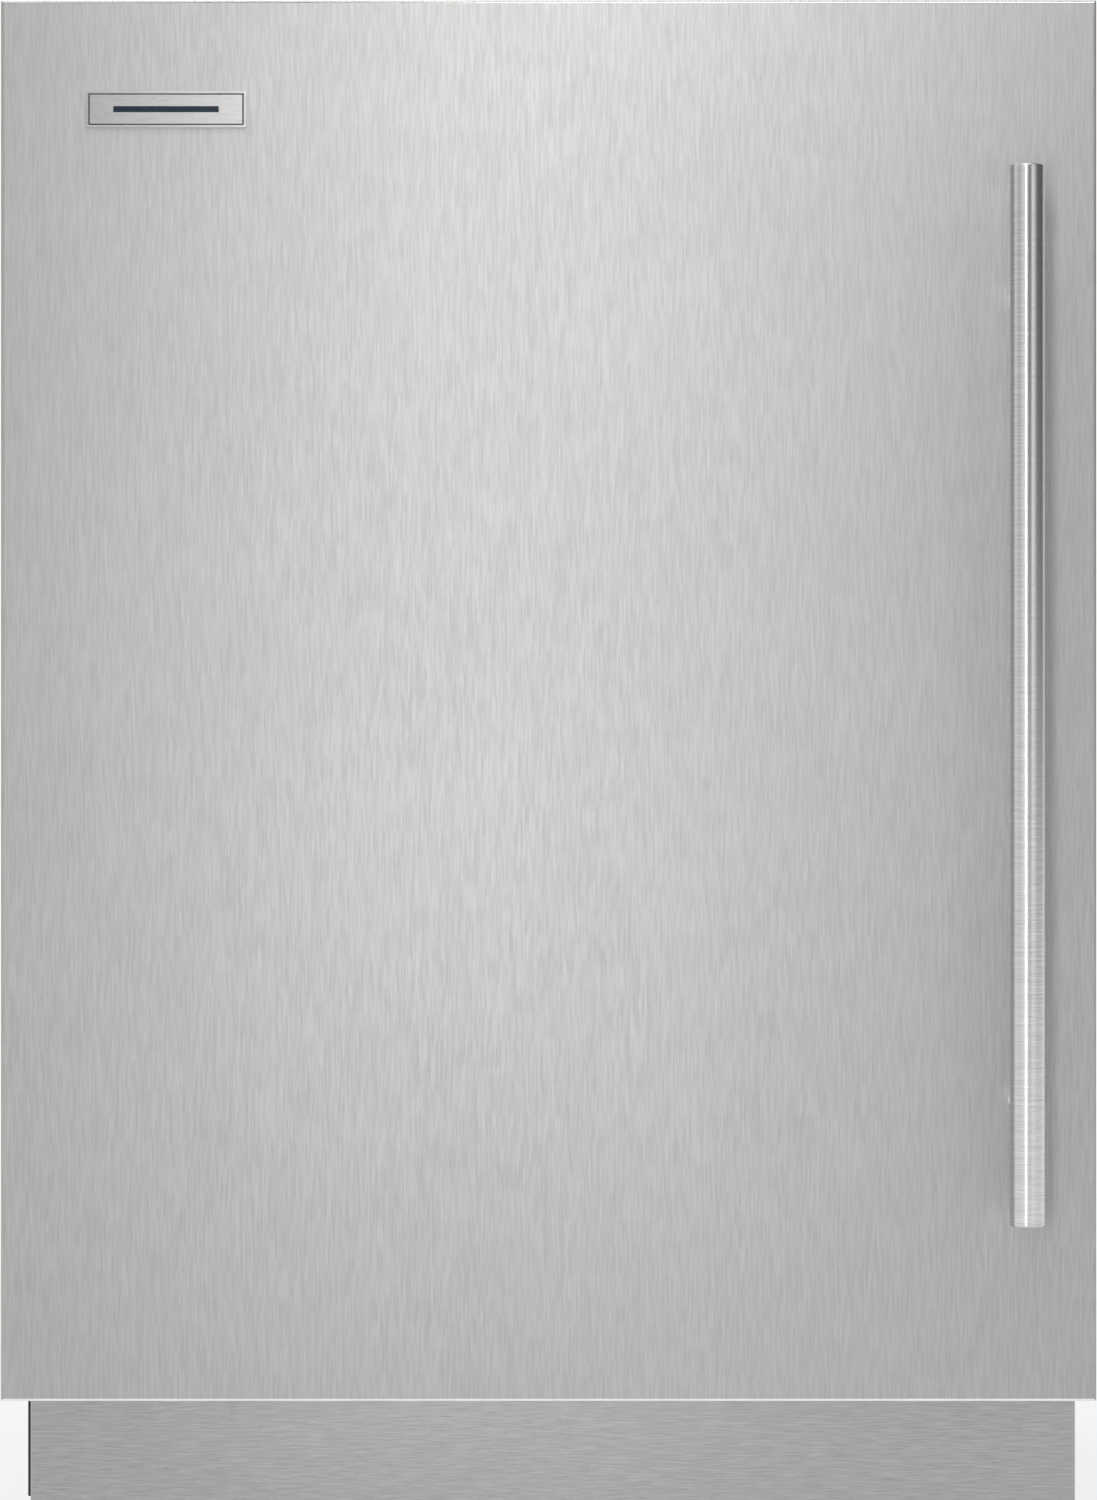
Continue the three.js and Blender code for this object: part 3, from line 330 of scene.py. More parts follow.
def surface(name, low, high, grain, metallic, roughness, spread=0.04, bump=0.0):
    """A finish whose colour, gloss and height follow one fine noise over a broad faint one.

    grain is the number of its marks to a metre along X, Y and Z."""
    made, tree, shader = new_material(name, metallic, roughness)
    place = node(tree, "TexCoord")
    stretch = node(tree, "Mapping", Scale=grain)
    fine = node(tree, "TexNoise", Scale=1.0, Detail=3.0)
    broad = node(tree, "TexNoise", Scale=5.0, Detail=2.0)
    uneven = node(tree, "Math", "MULTIPLY_ADD")
    uneven.inputs[1].default_value = 0.12
    weak, strong = 0.36, 0.76
    shade = node(tree, "ValToRGB")
    for stop, place_on, colour in zip(shade.color_ramp.elements, (weak, strong), (low, high)):
        stop.position = place_on
        stop.color = (*colour, 1)
    gloss = node(tree, "MapRange", From_Min=weak, From_Max=strong)
    gloss.inputs["To Min"].default_value = roughness + spread
    gloss.inputs["To Max"].default_value = roughness - spread
    wire(
        tree,
        (place, "Object", stretch, 0),
        (stretch, 0, fine, "Vector"),
        (place, "Object", broad, "Vector"),
        (broad, 0, uneven, 0),
        (fine, 0, uneven, 2),
        (uneven, 0, shade, 0),
        (uneven, 0, gloss, 0),
        (shade, 0, shader, "Base Color"),
        (gloss, 0, shader, "Roughness"),
    )
    if bump:
        relief = node(tree, "Bump", Strength=bump, Distance=0.1 * mm)
        wire(
            tree,
            (fine, 0, relief, "Height"),
            (relief, 0, shader, "Normal"),
        )
    return made


def finished(piece, body, material, slot, *stands_for):
    """Paints a piece, puts it under its body and hides the CAD nodes that it stands for. The slot is not
    used.
    """
    piece.data.materials.clear()
    piece.data.materials.append(material)
    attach(piece, body)
    if stands_for:
        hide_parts(*stands_for)
    return piece


zinc = surface("zinc_plate", (0.36, 0.37, 0.38), (0.5, 0.51, 0.53), (160, 160, 160), 0.9, 0.38, 0.08)
black_plastic = surface(
    "black_plastic", (0.014, 0.014, 0.015), (0.024, 0.024, 0.026), (900, 900, 900), 0, 0.45, 0.05, 0.25
)
pad_height = 3 * mm
thread_pitch = 1.5 * mm
thread_depth = 0.6 * mm
for leg in ("leg_front_left", "leg_front_right", "leg_rear_left", "leg_rear_right"):
    low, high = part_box(leg)
    middle = (low + high) / 2
    radius = (high.x - low.x) / 2
    at = (middle.x, middle.y, 0)
    pad = turned(
        leg + "_pad",
        at,
        [(radius - 2 * mm, 0), (radius, 0.8 * mm), (radius, pad_height), (radius - 1 * mm, pad_height)],
    )
    stem = 5 * mm
    steps = [
        (radius - 1.5 * mm, pad_height),
        (radius - 1.5 * mm, 8 * mm),
        (radius - 4 * mm, 10 * mm),
        (stem + 3 * mm, 12 * mm),
        (stem, 12 * mm),
    ]
    rise = 13 * mm
    while rise < high.z - 2 * thread_pitch:
        steps += [(stem, rise), (stem - thread_depth, rise + thread_pitch / 2)]
        rise += thread_pitch
    steps += [(stem, rise), (stem - 1 * mm, high.z)]
    foot = smoothed(turned(leg + "_foot", at, steps, sides=32), 25)
    nut = turned(leg + "_nut", at, [(10 * mm, 12 * mm), (10 * mm, 18 * mm)], sides=6)
    softened(nut, 0.6 * mm)
    steel_part = joined(leg + "_steel", [foot, nut])
    finished(steel_part, leg, zinc, "bracket_steel", leg)
    finished(smoothed(pad), leg, black_plastic, "black_plastic")


# ---- The base is a tray of black painted steel with folded walls and four threaded bosses.
# It carries the machines, and a slotted plastic grille lets air in behind the kick plate.
def edit(piece):
    """Opens one piece's mesh for editing, with nothing in it selected."""
    only(piece)
    bpy.ops.object.mode_set(mode="EDIT")
    bpy.ops.mesh.select_all(action="DESELECT")


def done():
    bpy.ops.object.mode_set(mode="OBJECT")


def remade(node):
    """A merged copy of a CAD node, with its flat faces whole again."""
    piece = bpy.data.objects.new(node + "_made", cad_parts[node].data.copy())
    bpy.context.scene.collection.objects.link(piece)
    edit(piece)
    bpy.ops.mesh.select_all(action="SELECT")
    bpy.ops.mesh.customdata_custom_splitnormals_clear()
    bpy.ops.mesh.remove_doubles(threshold=0.01 * mm)
    bpy.ops.mesh.dissolve_limited(angle_limit=math.radians(1))
    done()
    return piece


def eased(node, body, material, slot, width, segments=2):
    """A CAD node's own shape with rounded edges, finished and standing for that node."""
    return finished(softened(remade(node), width, segments), body, material, slot, node)


black_paint = surface(
    "black_paint", (0.013, 0.013, 0.014), (0.022, 0.022, 0.023), (1400, 1400, 1400), 0.1, 0.5, 0.05, 0.3
)
eased("base_tray", "cabinet", black_paint, "black_steel", 0.5 * mm)
eased("base_grille", "cabinet", black_plastic, "black_plastic", 0.6 * mm)


# ---- The kick plate is a channel of stainless sheet brushed along its length, open at its
# top and bottom, with its ends bent back to the base tray.
def block(name, low, high):
    """A box between two corners, with its place in its mesh."""
    bpy.ops.object.select_all(action="DESELECT")
    low, high = Vector(low), Vector(high)
    bpy.ops.mesh.primitive_cube_add(size=1, location=(low + high) / 2)
    piece = bpy.context.object
    piece.name = name
    piece.scale = high - low
    bpy.ops.object.transform_apply(location=True, rotation=True, scale=True)
    return piece


def pick(kind, test):
    """Selects only those "faces", "edges" or "verts" of the open mesh that pass a test."""
    bpy.ops.mesh.select_mode(type={"faces": "FACE", "edges": "EDGE", "verts": "VERT"}[kind])
    bpy.ops.mesh.select_all(action="DESELECT")
    shape = bmesh.from_edit_mesh(bpy.context.object.data)
    for part in getattr(shape, kind):
        if test(part):
            part.select_set(True)
    shape.select_flush_mode()
    bmesh.update_edit_mesh(bpy.context.object.data)


def pick_side(*way):
    """Selects the faces of the open mesh that look one way."""
    pick("faces", lambda face: face.normal.dot(Vector(way)) > 0.9)


def rounded(width, segments):
    """Rounds the selected edges of the open mesh."""
    bpy.ops.mesh.bevel(offset=width, segments=segments, affect="EDGES")


def bend(edge):
    """Whether two faces meet at this edge at more than sixty degrees."""
    return len(edge.link_faces) == 2 and edge.calc_face_angle() > math.radians(60)


def centre(edge):
    return (edge.verts[0].co + edge.verts[1].co) / 2


def thickened(piece, wall, outward=False):
    """Gives a sheet its thickness, inwards unless told otherwise."""
    side = 1 if outward else -1
    return modified(piece, "SOLIDIFY", thickness=wall, offset=side, use_even_offset=True)


kick_steel = surface(
    "kick_plate_steel", (0.37, 0.37, 0.37), (0.46, 0.46, 0.46), (70, 1300, 1300), 1.0, 0.25, 0.03, 0.05
)
kick_sheet = 1.2 * mm
low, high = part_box("kick_plate")
kick = block("kick_plate_channel", low, high)
edit(kick)
pick("faces", lambda face: face.normal.y > 0.9 or abs(face.normal.z) > 0.9)
bpy.ops.mesh.delete(type="FACE")
pick("edges", bend)
rounded(1.8 * mm, 5)
done()
thickened(kick, kick_sheet)
finished(softened(kick, 0.25 * mm), "cabinet", kick_steel, "dull_stainless", "kick_plate")


# ---- The floor sheet is galvanised steel, stepped up over the machine space. The wrapper is
# one painted sheet bent over the top and down both sides, and returned round the opening.
galvanised = surface(
    "galvanised_steel", (0.42, 0.43, 0.44), (0.5, 0.51, 0.52), (150, 150, 150), 0.85, 0.42, 0.06
)
eased("floor_sheet", "cabinet", galvanised, "bracket_steel", 0.3 * mm)

wrapper_paint = surface(
    "wrapper_paint", (0.032, 0.033, 0.035), (0.046, 0.047, 0.049), (1100, 1100, 1100), 0.0, 0.42, 0.04, 0.5
)
body_sheet = 1 * mm
face_flange = 36 * mm
low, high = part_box("outer_wrapper")
wrapper = block("wrapper_sheet", low, high)
edit(wrapper)
for place, across in (
    ((low.x + face_flange, 0, 0), (1, 0, 0)),
    ((high.x - face_flange, 0, 0), (1, 0, 0)),
    ((0, 0, high.z - face_flange), (0, 0, 1)),
):
    pick_side(0, -1, 0)
    bpy.ops.mesh.bisect(plane_co=place, plane_no=across)


def in_opening(face):
    at = face.calc_center_median()
    inside = abs(at.x) < high.x - face_flange and at.z < high.z - face_flange
    return face.normal.y < -0.9 and inside


pick("faces", lambda face: in_opening(face) or face.normal.y > 0.9 or face.normal.z < -0.9)
bpy.ops.mesh.delete(type="FACE")
pick("edges", bend)
rounded(2 * mm, 5)
done()
thickened(wrapper, body_sheet)
finished(smoothed(wrapper), "cabinet", wrapper_paint, "painted_steel", "outer_wrapper")


# ---- The back is a flat galvanised sheet, pressed in a little inside its edges so that it
# doesn't drum, and held round its rim by flat rivets.
def copied(name, piece, places):
    """One joined piece with the first at the first place and a copy of it at each of the others."""
    made = []
    for place in places:
        again = bpy.data.objects.new(name, piece.data.copy())
        bpy.context.scene.collection.objects.link(again)
        again.location = place
        made.append(again)
    bpy.data.objects.remove(piece)
    bpy.ops.object.select_all(action="DESELECT")
    for again in made:
        again.select_set(True)
    bpy.context.view_layer.objects.active = made[0]
    bpy.ops.object.transform_apply(location=True, rotation=False, scale=False)
    return joined(name, made)


def inset(rim, depth=0):
    """Draws the selected faces in by a rim, and out by a depth."""
    bpy.ops.mesh.inset(thickness=rim, depth=depth)


low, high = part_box("back_sheet")
back = block("back_sheet_panel", low, high)
press_depth = 0.55 * mm
rim_width = 16 * mm
edit(back)
pick_side(0, 1, 0)
inset(0.3 * mm)
inset(2 * mm, -press_depth)
inset(rim_width)
inset(8 * mm, press_depth * 0.6)
done()
finished(smoothed(back, 1), "cabinet", galvanised, "bracket_steel", "back_sheet")
rivet = smoothed(
    turned(
        "rivet",
        (0, 0, 0),
        [(3 * mm, 0), (3 * mm, 0.2 * mm), (2.2 * mm, 0.5 * mm), (1 * mm, 0.54 * mm)],
        toward=(0, 1, 0),
        sides=20,
    )
)
rivet_inset = 10 * mm
rivet_rows = 7
places = []
for i in range(rivet_rows):
    z = low.z + rivet_inset + i * (high.z - low.z - 2 * rivet_inset) / (rivet_rows - 1)
    places += [(x, high.y - press_depth, z) for x in (low.x + rivet_inset, high.x - rivet_inset)]
for i in range(1, rivet_rows - 1):
    x = low.x + rivet_inset + i * (high.x - low.x - 2 * rivet_inset) / (rivet_rows - 1)
    places += [(x, high.y - press_depth, z) for z in (low.z + rivet_inset, high.z - rivet_inset)]
finished(copied("back_sheet_rivets", rivet, places), "cabinet", zinc, "bracket_steel")


# ---- The insulation of the cabinet and the door is polyurethane, foamed in place between the
# steel and the liners, so it keeps their shape.
foam = surface("foam", (0.62, 0.5, 0.26), (0.78, 0.68, 0.42), (420, 420, 420), 0, 0.9, 0.05, 0.8)
for name in ("cabinet_insulation", "door_insulation"):
    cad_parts[name].data.materials.clear()
    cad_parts[name].data.materials.append(foam)


# ---- The liner is one white vacuum-formed sheet with round corners. It steps over the machine
# space, and has ledges for the shelves and runners for the crispers.
white_liner = surface(
    "white_liner", (0.66, 0.67, 0.67), (0.72, 0.73, 0.73), (260, 260, 260), 0, 0.32, 0.04, 0.12
)
liner_wall = 2 * mm
liner_corner = 9 * mm
lip_width = 7 * mm
lip_clear = 1.7 * mm
side_wall = 45 * mm
machine_depth = 189 * mm
machine_insulation = 31.7 * mm
step_rise = 35 * mm
low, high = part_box("inner_liner")
food_half = cad_high.x - side_wall
roof = high.z - lip_width - lip_clear
ground = low.z + lip_width + 1 * mm
hump_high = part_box("floor_sheet")[1]
hump_front = hump_high.y - machine_depth - machine_insulation
hump_top = hump_high.z + step_rise
food_back = high.y - liner_wall
liner = block("liner_shell", (-food_half, low.y, ground), (food_half, hump_front, roof))
edit(liner)
pick_side(0, 1, 0)
bpy.ops.mesh.bisect(plane_co=(0, 0, hump_top), plane_no=(0, 0, 1))
pick("faces", lambda face: face.normal.y > 0.9 and face.calc_center_median().z > hump_top)
drawn(0, food_back - hump_front, 0)
pick_side(0, -1, 0)
bpy.ops.mesh.delete(type="FACE")
pick("edges", bend)
rounded(liner_corner, 6)
pick("edges", lambda edge: edge.is_boundary)
bpy.ops.mesh.extrude_region_move()
bpy.ops.transform.resize(
    value=((food_half + lip_width) / food_half, 1, 1 + 2 * lip_width / (roof - ground)),
    center_override=(0, low.y, (roof + ground) / 2),
)
done()
thickened(liner, liner_wall, outward=True)
smoothed(liner)
ledge_low, ledge_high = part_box("shelf_lower_frame")
ledge_width = 8 * mm
ledge_thick = 6 * mm
first_ledge = 330 * mm
ledge_pitch = 70 * mm
cover_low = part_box("crisper_cover_frame")[0]
ledge_count = 6
levels = [(first_ledge + i * ledge_pitch, ledge_high.y) for i in range(ledge_count)]
levels.append((cover_low.z - 0.3 * mm, hump_front))
ledges = []
for side in (-1, 1):
    wall_x = side * (food_half + liner_wall / 2)
    edge_x = side * (food_half - ledge_width)
    for top, rear in levels:
        ledge = block(
            "ledge",
            (min(wall_x, edge_x), ledge_low.y, top - ledge_thick),
            (max(wall_x, edge_x), rear, top),
        )
        ledges.append(softened(ledge, 1.6 * mm, 3))
runner_high = 3 * mm
runner_half = 3 * mm
runner_inset = 18 * mm
for name in ("crisper_left", "crisper_right"):
    box_low, box_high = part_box(name)
    for x in (box_low.x + runner_inset, box_high.x - runner_inset):
        runner = block(
            "runner",
            (x - runner_half, ledge_low.y, ground - 1 * mm),
            (x + runner_half, hump_front, ground + runner_high),
        )
        ledges.append(softened(runner, 1 * mm, 3))
finished(joined("liner_moulding", [liner] + ledges), "cabinet", white_liner, "white_liner", "inner_liner")


# ---- The evaporator is a roll-bonded aluminium plate with a channel blown up in it. A moulded
# cover with slots stands over it, and a small fan on a strap blows the air out through them.
aluminium = surface(
    "aluminium", (0.5, 0.51, 0.52), (0.62, 0.63, 0.64), (300, 300, 300), 1.0, 0.34, 0.06, 0.1
)
finished(smoothed(remade("evaporator"), 40), "cabinet", aluminium, "aluminium", "evaporator")
eased("evaporator_cover", "cabinet", white_liner, "white_liner", 1 * mm, 3)
eased("evaporator_fan", "evaporator_fan", black_plastic, "black_plastic", 0.3 * mm)
eased("evaporator_fan_motor", "cabinet", galvanised, "bracket_steel", 0.6 * mm)


# ---- The control panel is a moulded box under the roof with a dark display, four push buttons
# and, under it, a clear ribbed lens over the lamp.
grey_plastic = surface(
    "grey_plastic", (0.2, 0.205, 0.21), (0.25, 0.255, 0.26), (800, 800, 800), 0, 0.42, 0.05, 0.3
)
eased("control_panel", "cabinet", grey_plastic, "grey_plastic", 1 * mm, 3)
display_tint = surface(
    "display_tint", (0.004, 0.005, 0.007), (0.009, 0.01, 0.013), (90, 90, 90), 0, 0.06, 0.02
)
low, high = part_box("display_window")
window = block("display_glass", low, high)
edit(window)
pick_side(0, -1, 0)
inset(1.2 * mm, 0.25 * mm)
done()
finished(softened(window, 0.1 * mm), "cabinet", display_tint, "black_plastic", "display_window")
for name in ("button_power", "button_colder", "button_warmer", "button_alarm"):
    low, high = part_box(name)
    middle = (low + high) / 2
    radius = (high.x - low.x) / 2
    length = high.y - low.y
    button = turned(
        name + "_cap",
        (middle.x, high.y, middle.z),
        [
            (radius, 0),
            (radius, length - 0.9 * mm),
            (radius - 0.3 * mm, length - 0.3 * mm),
            (radius - 0.9 * mm, length),
            (radius - 1.5 * mm, length),
            (radius - 2.4 * mm, length - 0.5 * mm),
            (0.4 * mm, length - 0.7 * mm),
        ],
        toward=(0, -1, 0),
        sides=40,
    )
    finished(smoothed(button, 40), name, black_plastic, "black_plastic", name)


def see_through(name, colour, roughness, index):
    """Clear glass or plastic, its colour a little uneven."""
    made = surface(name, [0.96 * c for c in colour], colour, (30, 30, 30), 0, roughness, 0.01)
    shader = made.node_tree.nodes["Principled BSDF"]
    shader.inputs["Transmission Weight"].default_value = 0.94
    shader.inputs["IOR"].default_value = index
    return made


clear_plastic = see_through("clear_plastic", (0.93, 0.95, 0.96), 0.05, 1.49)
low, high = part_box("light_lens")
lens = block("lens_ribbed", low, high)
rib_pitch = 6 * mm
rib_depth = 1.2 * mm
edit(lens)
x = low.x + rib_pitch
while x < high.x - rib_pitch / 2:
    bpy.ops.mesh.select_all(action="SELECT")
    bpy.ops.mesh.bisect(plane_co=(x, 0, 0), plane_no=(1, 0, 0))
    x += rib_pitch / 2


def in_valley(edge):
    steps = round((centre(edge).x - low.x) / (rib_pitch / 2))
    first, second = (vert.co for vert in edge.verts)
    along_y = abs(first.x - second.x) < 1e-6 and abs(first.y - second.y) > 1 * mm
    inside = low.x + rib_pitch / 2 < centre(edge).x < high.x - rib_pitch / 2
    underneath = centre(edge).z < low.z + 0.01 * mm
    return along_y and inside and underneath and steps % 2


pick("edges", in_valley)
bpy.ops.transform.translate(value=(0, 0, rib_depth))
done()
finished(smoothed(lens, 20), "cabinet", clear_plastic, "clear_plastic", "light_lens")


# ---- The shelves and the crispers' cover are sheets of toughened glass with polished edges,
# each lying in the rebate of a moulded frame that rests on the liner's ledges.
def upright(edge):
    return abs(edge.verts[0].co.z - edge.verts[1].co.z) > 1 * mm


shelf_glass = see_through("shelf_glass", (0.86, 0.95, 0.92), 0.02, 1.52)
frame_plastic = surface(
    "frame_plastic", (0.58, 0.59, 0.6), (0.64, 0.65, 0.66), (500, 500, 500), 0, 0.3, 0.04, 0.15
)
for name in ("shelf_lower", "shelf_upper", "crisper_cover"):
    eased(name + "_frame", "cabinet", frame_plastic, "white_liner", 1.1 * mm, 3)
    low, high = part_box(name + "_glass")
    pane = block(name + "_pane", low, high)
    edit(pane)
    pick("edges", upright)
    rounded(3 * mm, 4)
    done()
    finished(softened(pane, 0.5 * mm, 2), "cabinet", shelf_glass, "shelf_glass", name + "_glass")


# ---- The crispers are clear moulded drawers with round corners and a lip to pull them by,
# which run on the liner's runners.
def tub(name, low, high, wall, corner, foot):
    """An open-topped box with one wall thickness and round corners, pressed in from its top."""
    piece = block(name, low, high)
    edit(piece)
    pick("edges", upright)
    rounded(corner, 7)
    pick("edges", lambda edge: bend(edge) and centre(edge).z < low[2] + 0.01 * mm)
    rounded(foot, 4)
    pick_side(0, 0, 1)
    inset(wall)
    depth = high[2] - low[2] - wall
    drawn(0, 0, -depth)
    pick("edges", lambda edge: bend(edge) and abs(centre(edge).z - low[2] - wall) < 0.01 * mm)
    rounded(foot, 4)
    done()
    return softened(piece, 0.35 * mm)


crisper_wall = 2.5 * mm
grip_reach = 10 * mm
grip_drop = 12 * mm
for name in ("crisper_left", "crisper_right"):
    low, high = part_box(name)
    drawer = tub(
        name + "_tub", (low.x, low.y + grip_reach, low.z), tuple(high), crisper_wall, 9 * mm, 6 * mm
    )
    grip = block(
        name + "_grip", (low.x, low.y, high.z - 4 * mm), (high.x, low.y + grip_reach + 1 * mm, high.z)
    )
    edit(grip)
    pick_side(0, 0, -1)
    bpy.ops.mesh.bisect(plane_co=(0, low.y + crisper_wall, 0), plane_no=(0, 1, 0))
    edge_y = low.y + crisper_wall
    pick("faces", lambda face: face.normal.z < -0.9 and face.calc_center_median().y < edge_y)
    drawn(0, 0, -grip_drop)
    done()
    softened(grip, 0.9 * mm, 3)
    finished(joined(name + "_drawer", [drawer, grip]), name, clear_plastic, "clear_plastic", name)


# ---- The compressor is a welded oval steel shell, painted black, on a foot plate held by four
# rubber grommets over a pressed rail. A plastic cover on its end hides its terminals.
compressor_paint = surface(
    "compressor_paint", (0.01, 0.01, 0.011), (0.02, 0.02, 0.021), (700, 700, 700), 0.2, 0.28, 0.05, 0.4
)
rubber = surface(
    "rubber", (0.02, 0.02, 0.02), (0.035, 0.035, 0.034), (1200, 1200, 1200), 0, 0.75, 0.05, 0.4
)
eased("compressor_rail", "cabinet", galvanised, "bracket_steel", 0.6 * mm)
low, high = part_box("compressor")
middle = (low + high) / 2
tall = high.z - low.z
wide = (high.y - low.y) / 2
shell_from_end = 88 * mm
shell_stretch = 1.18
shell_middle_x = high.x - shell_from_end
shell = turned(
    "compressor_shell",
    (0, 0, 0),
    [
        (wide * 0.6, 0.03 * tall),
        (wide * 0.78, 0.05 * tall),
        (wide * 0.89, 0.1 * tall),
        (wide * 0.94, 0.18 * tall),
        (wide * 0.945, 0.52 * tall),
        (wide, 0.525 * tall),
        (wide, 0.565 * tall),
        (wide * 0.945, 0.57 * tall),
        (wide * 0.93, 0.68 * tall),
        (wide * 0.87, 0.8 * tall),
        (wide * 0.76, 0.89 * tall),
        (wide * 0.58, 0.955 * tall),
        (wide * 0.34, 0.99 * tall),
        (wide * 0.1, tall),
    ],
    sides=72,
)
shell.scale = (shell_stretch, 1, 1)
shell.location = (shell_middle_x, middle.y, low.z)
bpy.ops.object.transform_apply(location=True, rotation=False, scale=True)
smoothed(shell, 40)
foot_plate = block(
    "compressor_foot", (low.x, middle.y - 40 * mm, low.z), (high.x, middle.y + 40 * mm, low.z + 3 * mm)
)
edit(foot_plate)
pick("edges", upright)
rounded(14 * mm, 6)
done()
softened(foot_plate, 0.5 * mm)
terminal = block(
    "terminal_cover",
    (low.x + 2 * mm, middle.y - 22 * mm, low.z + 0.3 * tall),
    (low.x + 30 * mm, middle.y + 22 * mm, low.z + 0.62 * tall),
)
softened(terminal, 3 * mm, 3)
body = joined("compressor_body", [shell, foot_plate])
finished(body, "cabinet", compressor_paint, "black_steel", "compressor")
finished(terminal, "cabinet", black_plastic, "black_plastic")
grommet = smoothed(
    turned(
        "grommet",
        (0, 0, 0),
        [
            (9 * mm, 0),
            (9 * mm, 3 * mm),
            (7 * mm, 4 * mm),
            (7 * mm, 6 * mm),
            (8 * mm, 7 * mm),
            (5 * mm, 8 * mm),
        ],
        sides=24,
    ),
    30,
)
grommet_x, grommet_y = 76 * mm, 29 * mm
corners = [
    (shell_middle_x + side * grommet_x, middle.y + end * grommet_y, low.z + 3 * mm)
    for side in (-1, 1)
    for end in (-1, 1)
]
finished(copied("compressor_grommets", grommet, corners), "cabinet", rubber, "gasket_rubber")


# ---- The condenser is flat tubes and folded fins between two headers. Behind it a pressed
# shroud carries the fan and its motor on three arms, and air is drawn through the fins.
low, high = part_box("condenser")
middle = (low + high) / 2
header_radius = (high.x - low.x) / 2
tube_count = 12
fin_gap = 2.6 * mm
parts = []
for y in (low.y + header_radius, high.y - header_radius):
    header = turned(
        "header",
        (middle.x, y, low.z),
        [
            (header_radius - 1.5 * mm, 0),
            (header_radius, 1.5 * mm),
            (header_radius, high.z - low.z - 1.5 * mm),
            (header_radius - 1.5 * mm, high.z - low.z),
        ],
        sides=28,
    )
    parts.append(smoothed(header))
pitch = (high.z - low.z) / tube_count
half = header_radius - 1.2 * mm
for i in range(tube_count):
    z = low.z + (i + 0.5) * pitch
    flat_tube = block(
        "flat_tube",
        (middle.x - half, low.y + header_radius, z - 1 * mm),
        (middle.x + half, high.y - header_radius, z + 1 * mm),
    )
    parts.append(softened(flat_tube, 0.8 * mm))
fin = block(
    "fin",
    (middle.x - half, -0.1 * mm, low.z + 0.6 * pitch),
    (middle.x + half, 0.1 * mm, high.z - 0.6 * pitch),
)
run = high.y - low.y - 4 * header_radius
fins = int(run / fin_gap)
places = [(0, low.y + 2 * header_radius + i * fin_gap, 0) for i in range(fins + 1)]
parts.append(copied("fins", fin, places))
finished(joined("condenser_core", parts), "cabinet", aluminium, "aluminium", "condenser")
for name, body, finish, slot, width in (
    ("condenser_fan_shroud", "cabinet", black_plastic, "black_plastic", 0.8 * mm),
    ("condenser_fan", "condenser_fan", black_plastic, "black_plastic", 0.35 * mm),
    ("condenser_fan_motor", "cabinet", galvanised, "bracket_steel", 0.8 * mm),
):
    eased(name, body, finish, slot, width)


# ---- A moulded tray on the compressor dries the defrost water. Beside it stand a control box
# with its lid, and the copper suction and discharge lines.
low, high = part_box("drip_tray")
finished(
    tub("drip_tray_moulding", tuple(low), tuple(high), 1.6 * mm, 8 * mm, 3 * mm),
    "cabinet",
    black_plastic,
    "black_plastic",
    "drip_tray",
)
low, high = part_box("control_box")
lid_inset = 4 * mm
case = block("control_case", low, (high.x, high.y, high.z - 3 * mm))
softened(case, 2 * mm, 3)
case_lid = block(
    "control_lid",
    (low.x + lid_inset, low.y + lid_inset, high.z - 4 * mm),
    (high.x - lid_inset, high.y - lid_inset, high.z),
)
edit(case_lid)
pick_side(0, 0, 1)
inset(6 * mm)
inset(1 * mm, -1 * mm)
done()
softened(case_lid, 0.5 * mm)
finished(joined("control_housing", [case, case_lid]), "cabinet", grey_plastic, "grey_plastic", "control_box")
copper = surface("copper", (0.5, 0.22, 0.12), (0.72, 0.36, 0.2), (120, 120, 120), 1.0, 0.3, 0.1)
for name in ("discharge_line", "suction_line"):
    line = remade(name)
    edit(line)
    pick("faces", lambda face: len(face.verts) > 4)
    inset(0.5 * mm)
    done()
    modified(line, "SUBSURF", levels=2, render_levels=2)
    finished(smoothed(line, 60), "cabinet", copper, "copper", name)


# ---- The rear cover is a black painted sheet with pressed louvres, screwed over the machine
# space. The mains inlet snaps into a hole in it.
low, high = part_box("rear_cover")
cover = softened(remade("rear_cover"), 0.3 * mm)
louvre_rows = 7
louvre_pitch = 17 * mm
louvre_half = 62 * mm
louvre_first = 26 * mm
slot_height = louvre_pitch / 3
stand_out = 2.2 * mm
hood = block(
    "hood",
    (-louvre_half, high.y - 0.2 * mm, -1.2 * mm),
    (louvre_half, high.y + stand_out, slot_height + 2 * mm),
)
edit(hood)
pick("edges", lambda edge: centre(edge).y > high.y + 1 * mm and centre(edge).z > slot_height)
bpy.ops.transform.translate(value=(0, -stand_out, 0))
pick_side(0, 0, -1)
inset(0.6 * mm, -1.5 * mm)
done()
softened(hood, 0.7 * mm, 3)
condenser_low, condenser_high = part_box("condenser")
past_condenser = 70 * mm
columns = ((condenser_low.x + condenser_high.x) / 2 + past_condenser, shell_middle_x)
places = [
    (x, 0, high.z - louvre_first - i * louvre_pitch - slot_height + 1 * mm)
    for x in columns
    for i in range(louvre_rows)
]
finished(
    joined("rear_cover_panel", [cover, copied("louvres", hood, places)]),
    "cabinet",
    black_paint,
    "black_steel",
    "rear_cover",
)


def cut(piece, tool):
    """Takes a tool's shape out of a piece."""
    modified(piece, "BOOLEAN", operation="DIFFERENCE", object=tool, solver="EXACT")
    bpy.data.objects.remove(tool)
    return piece


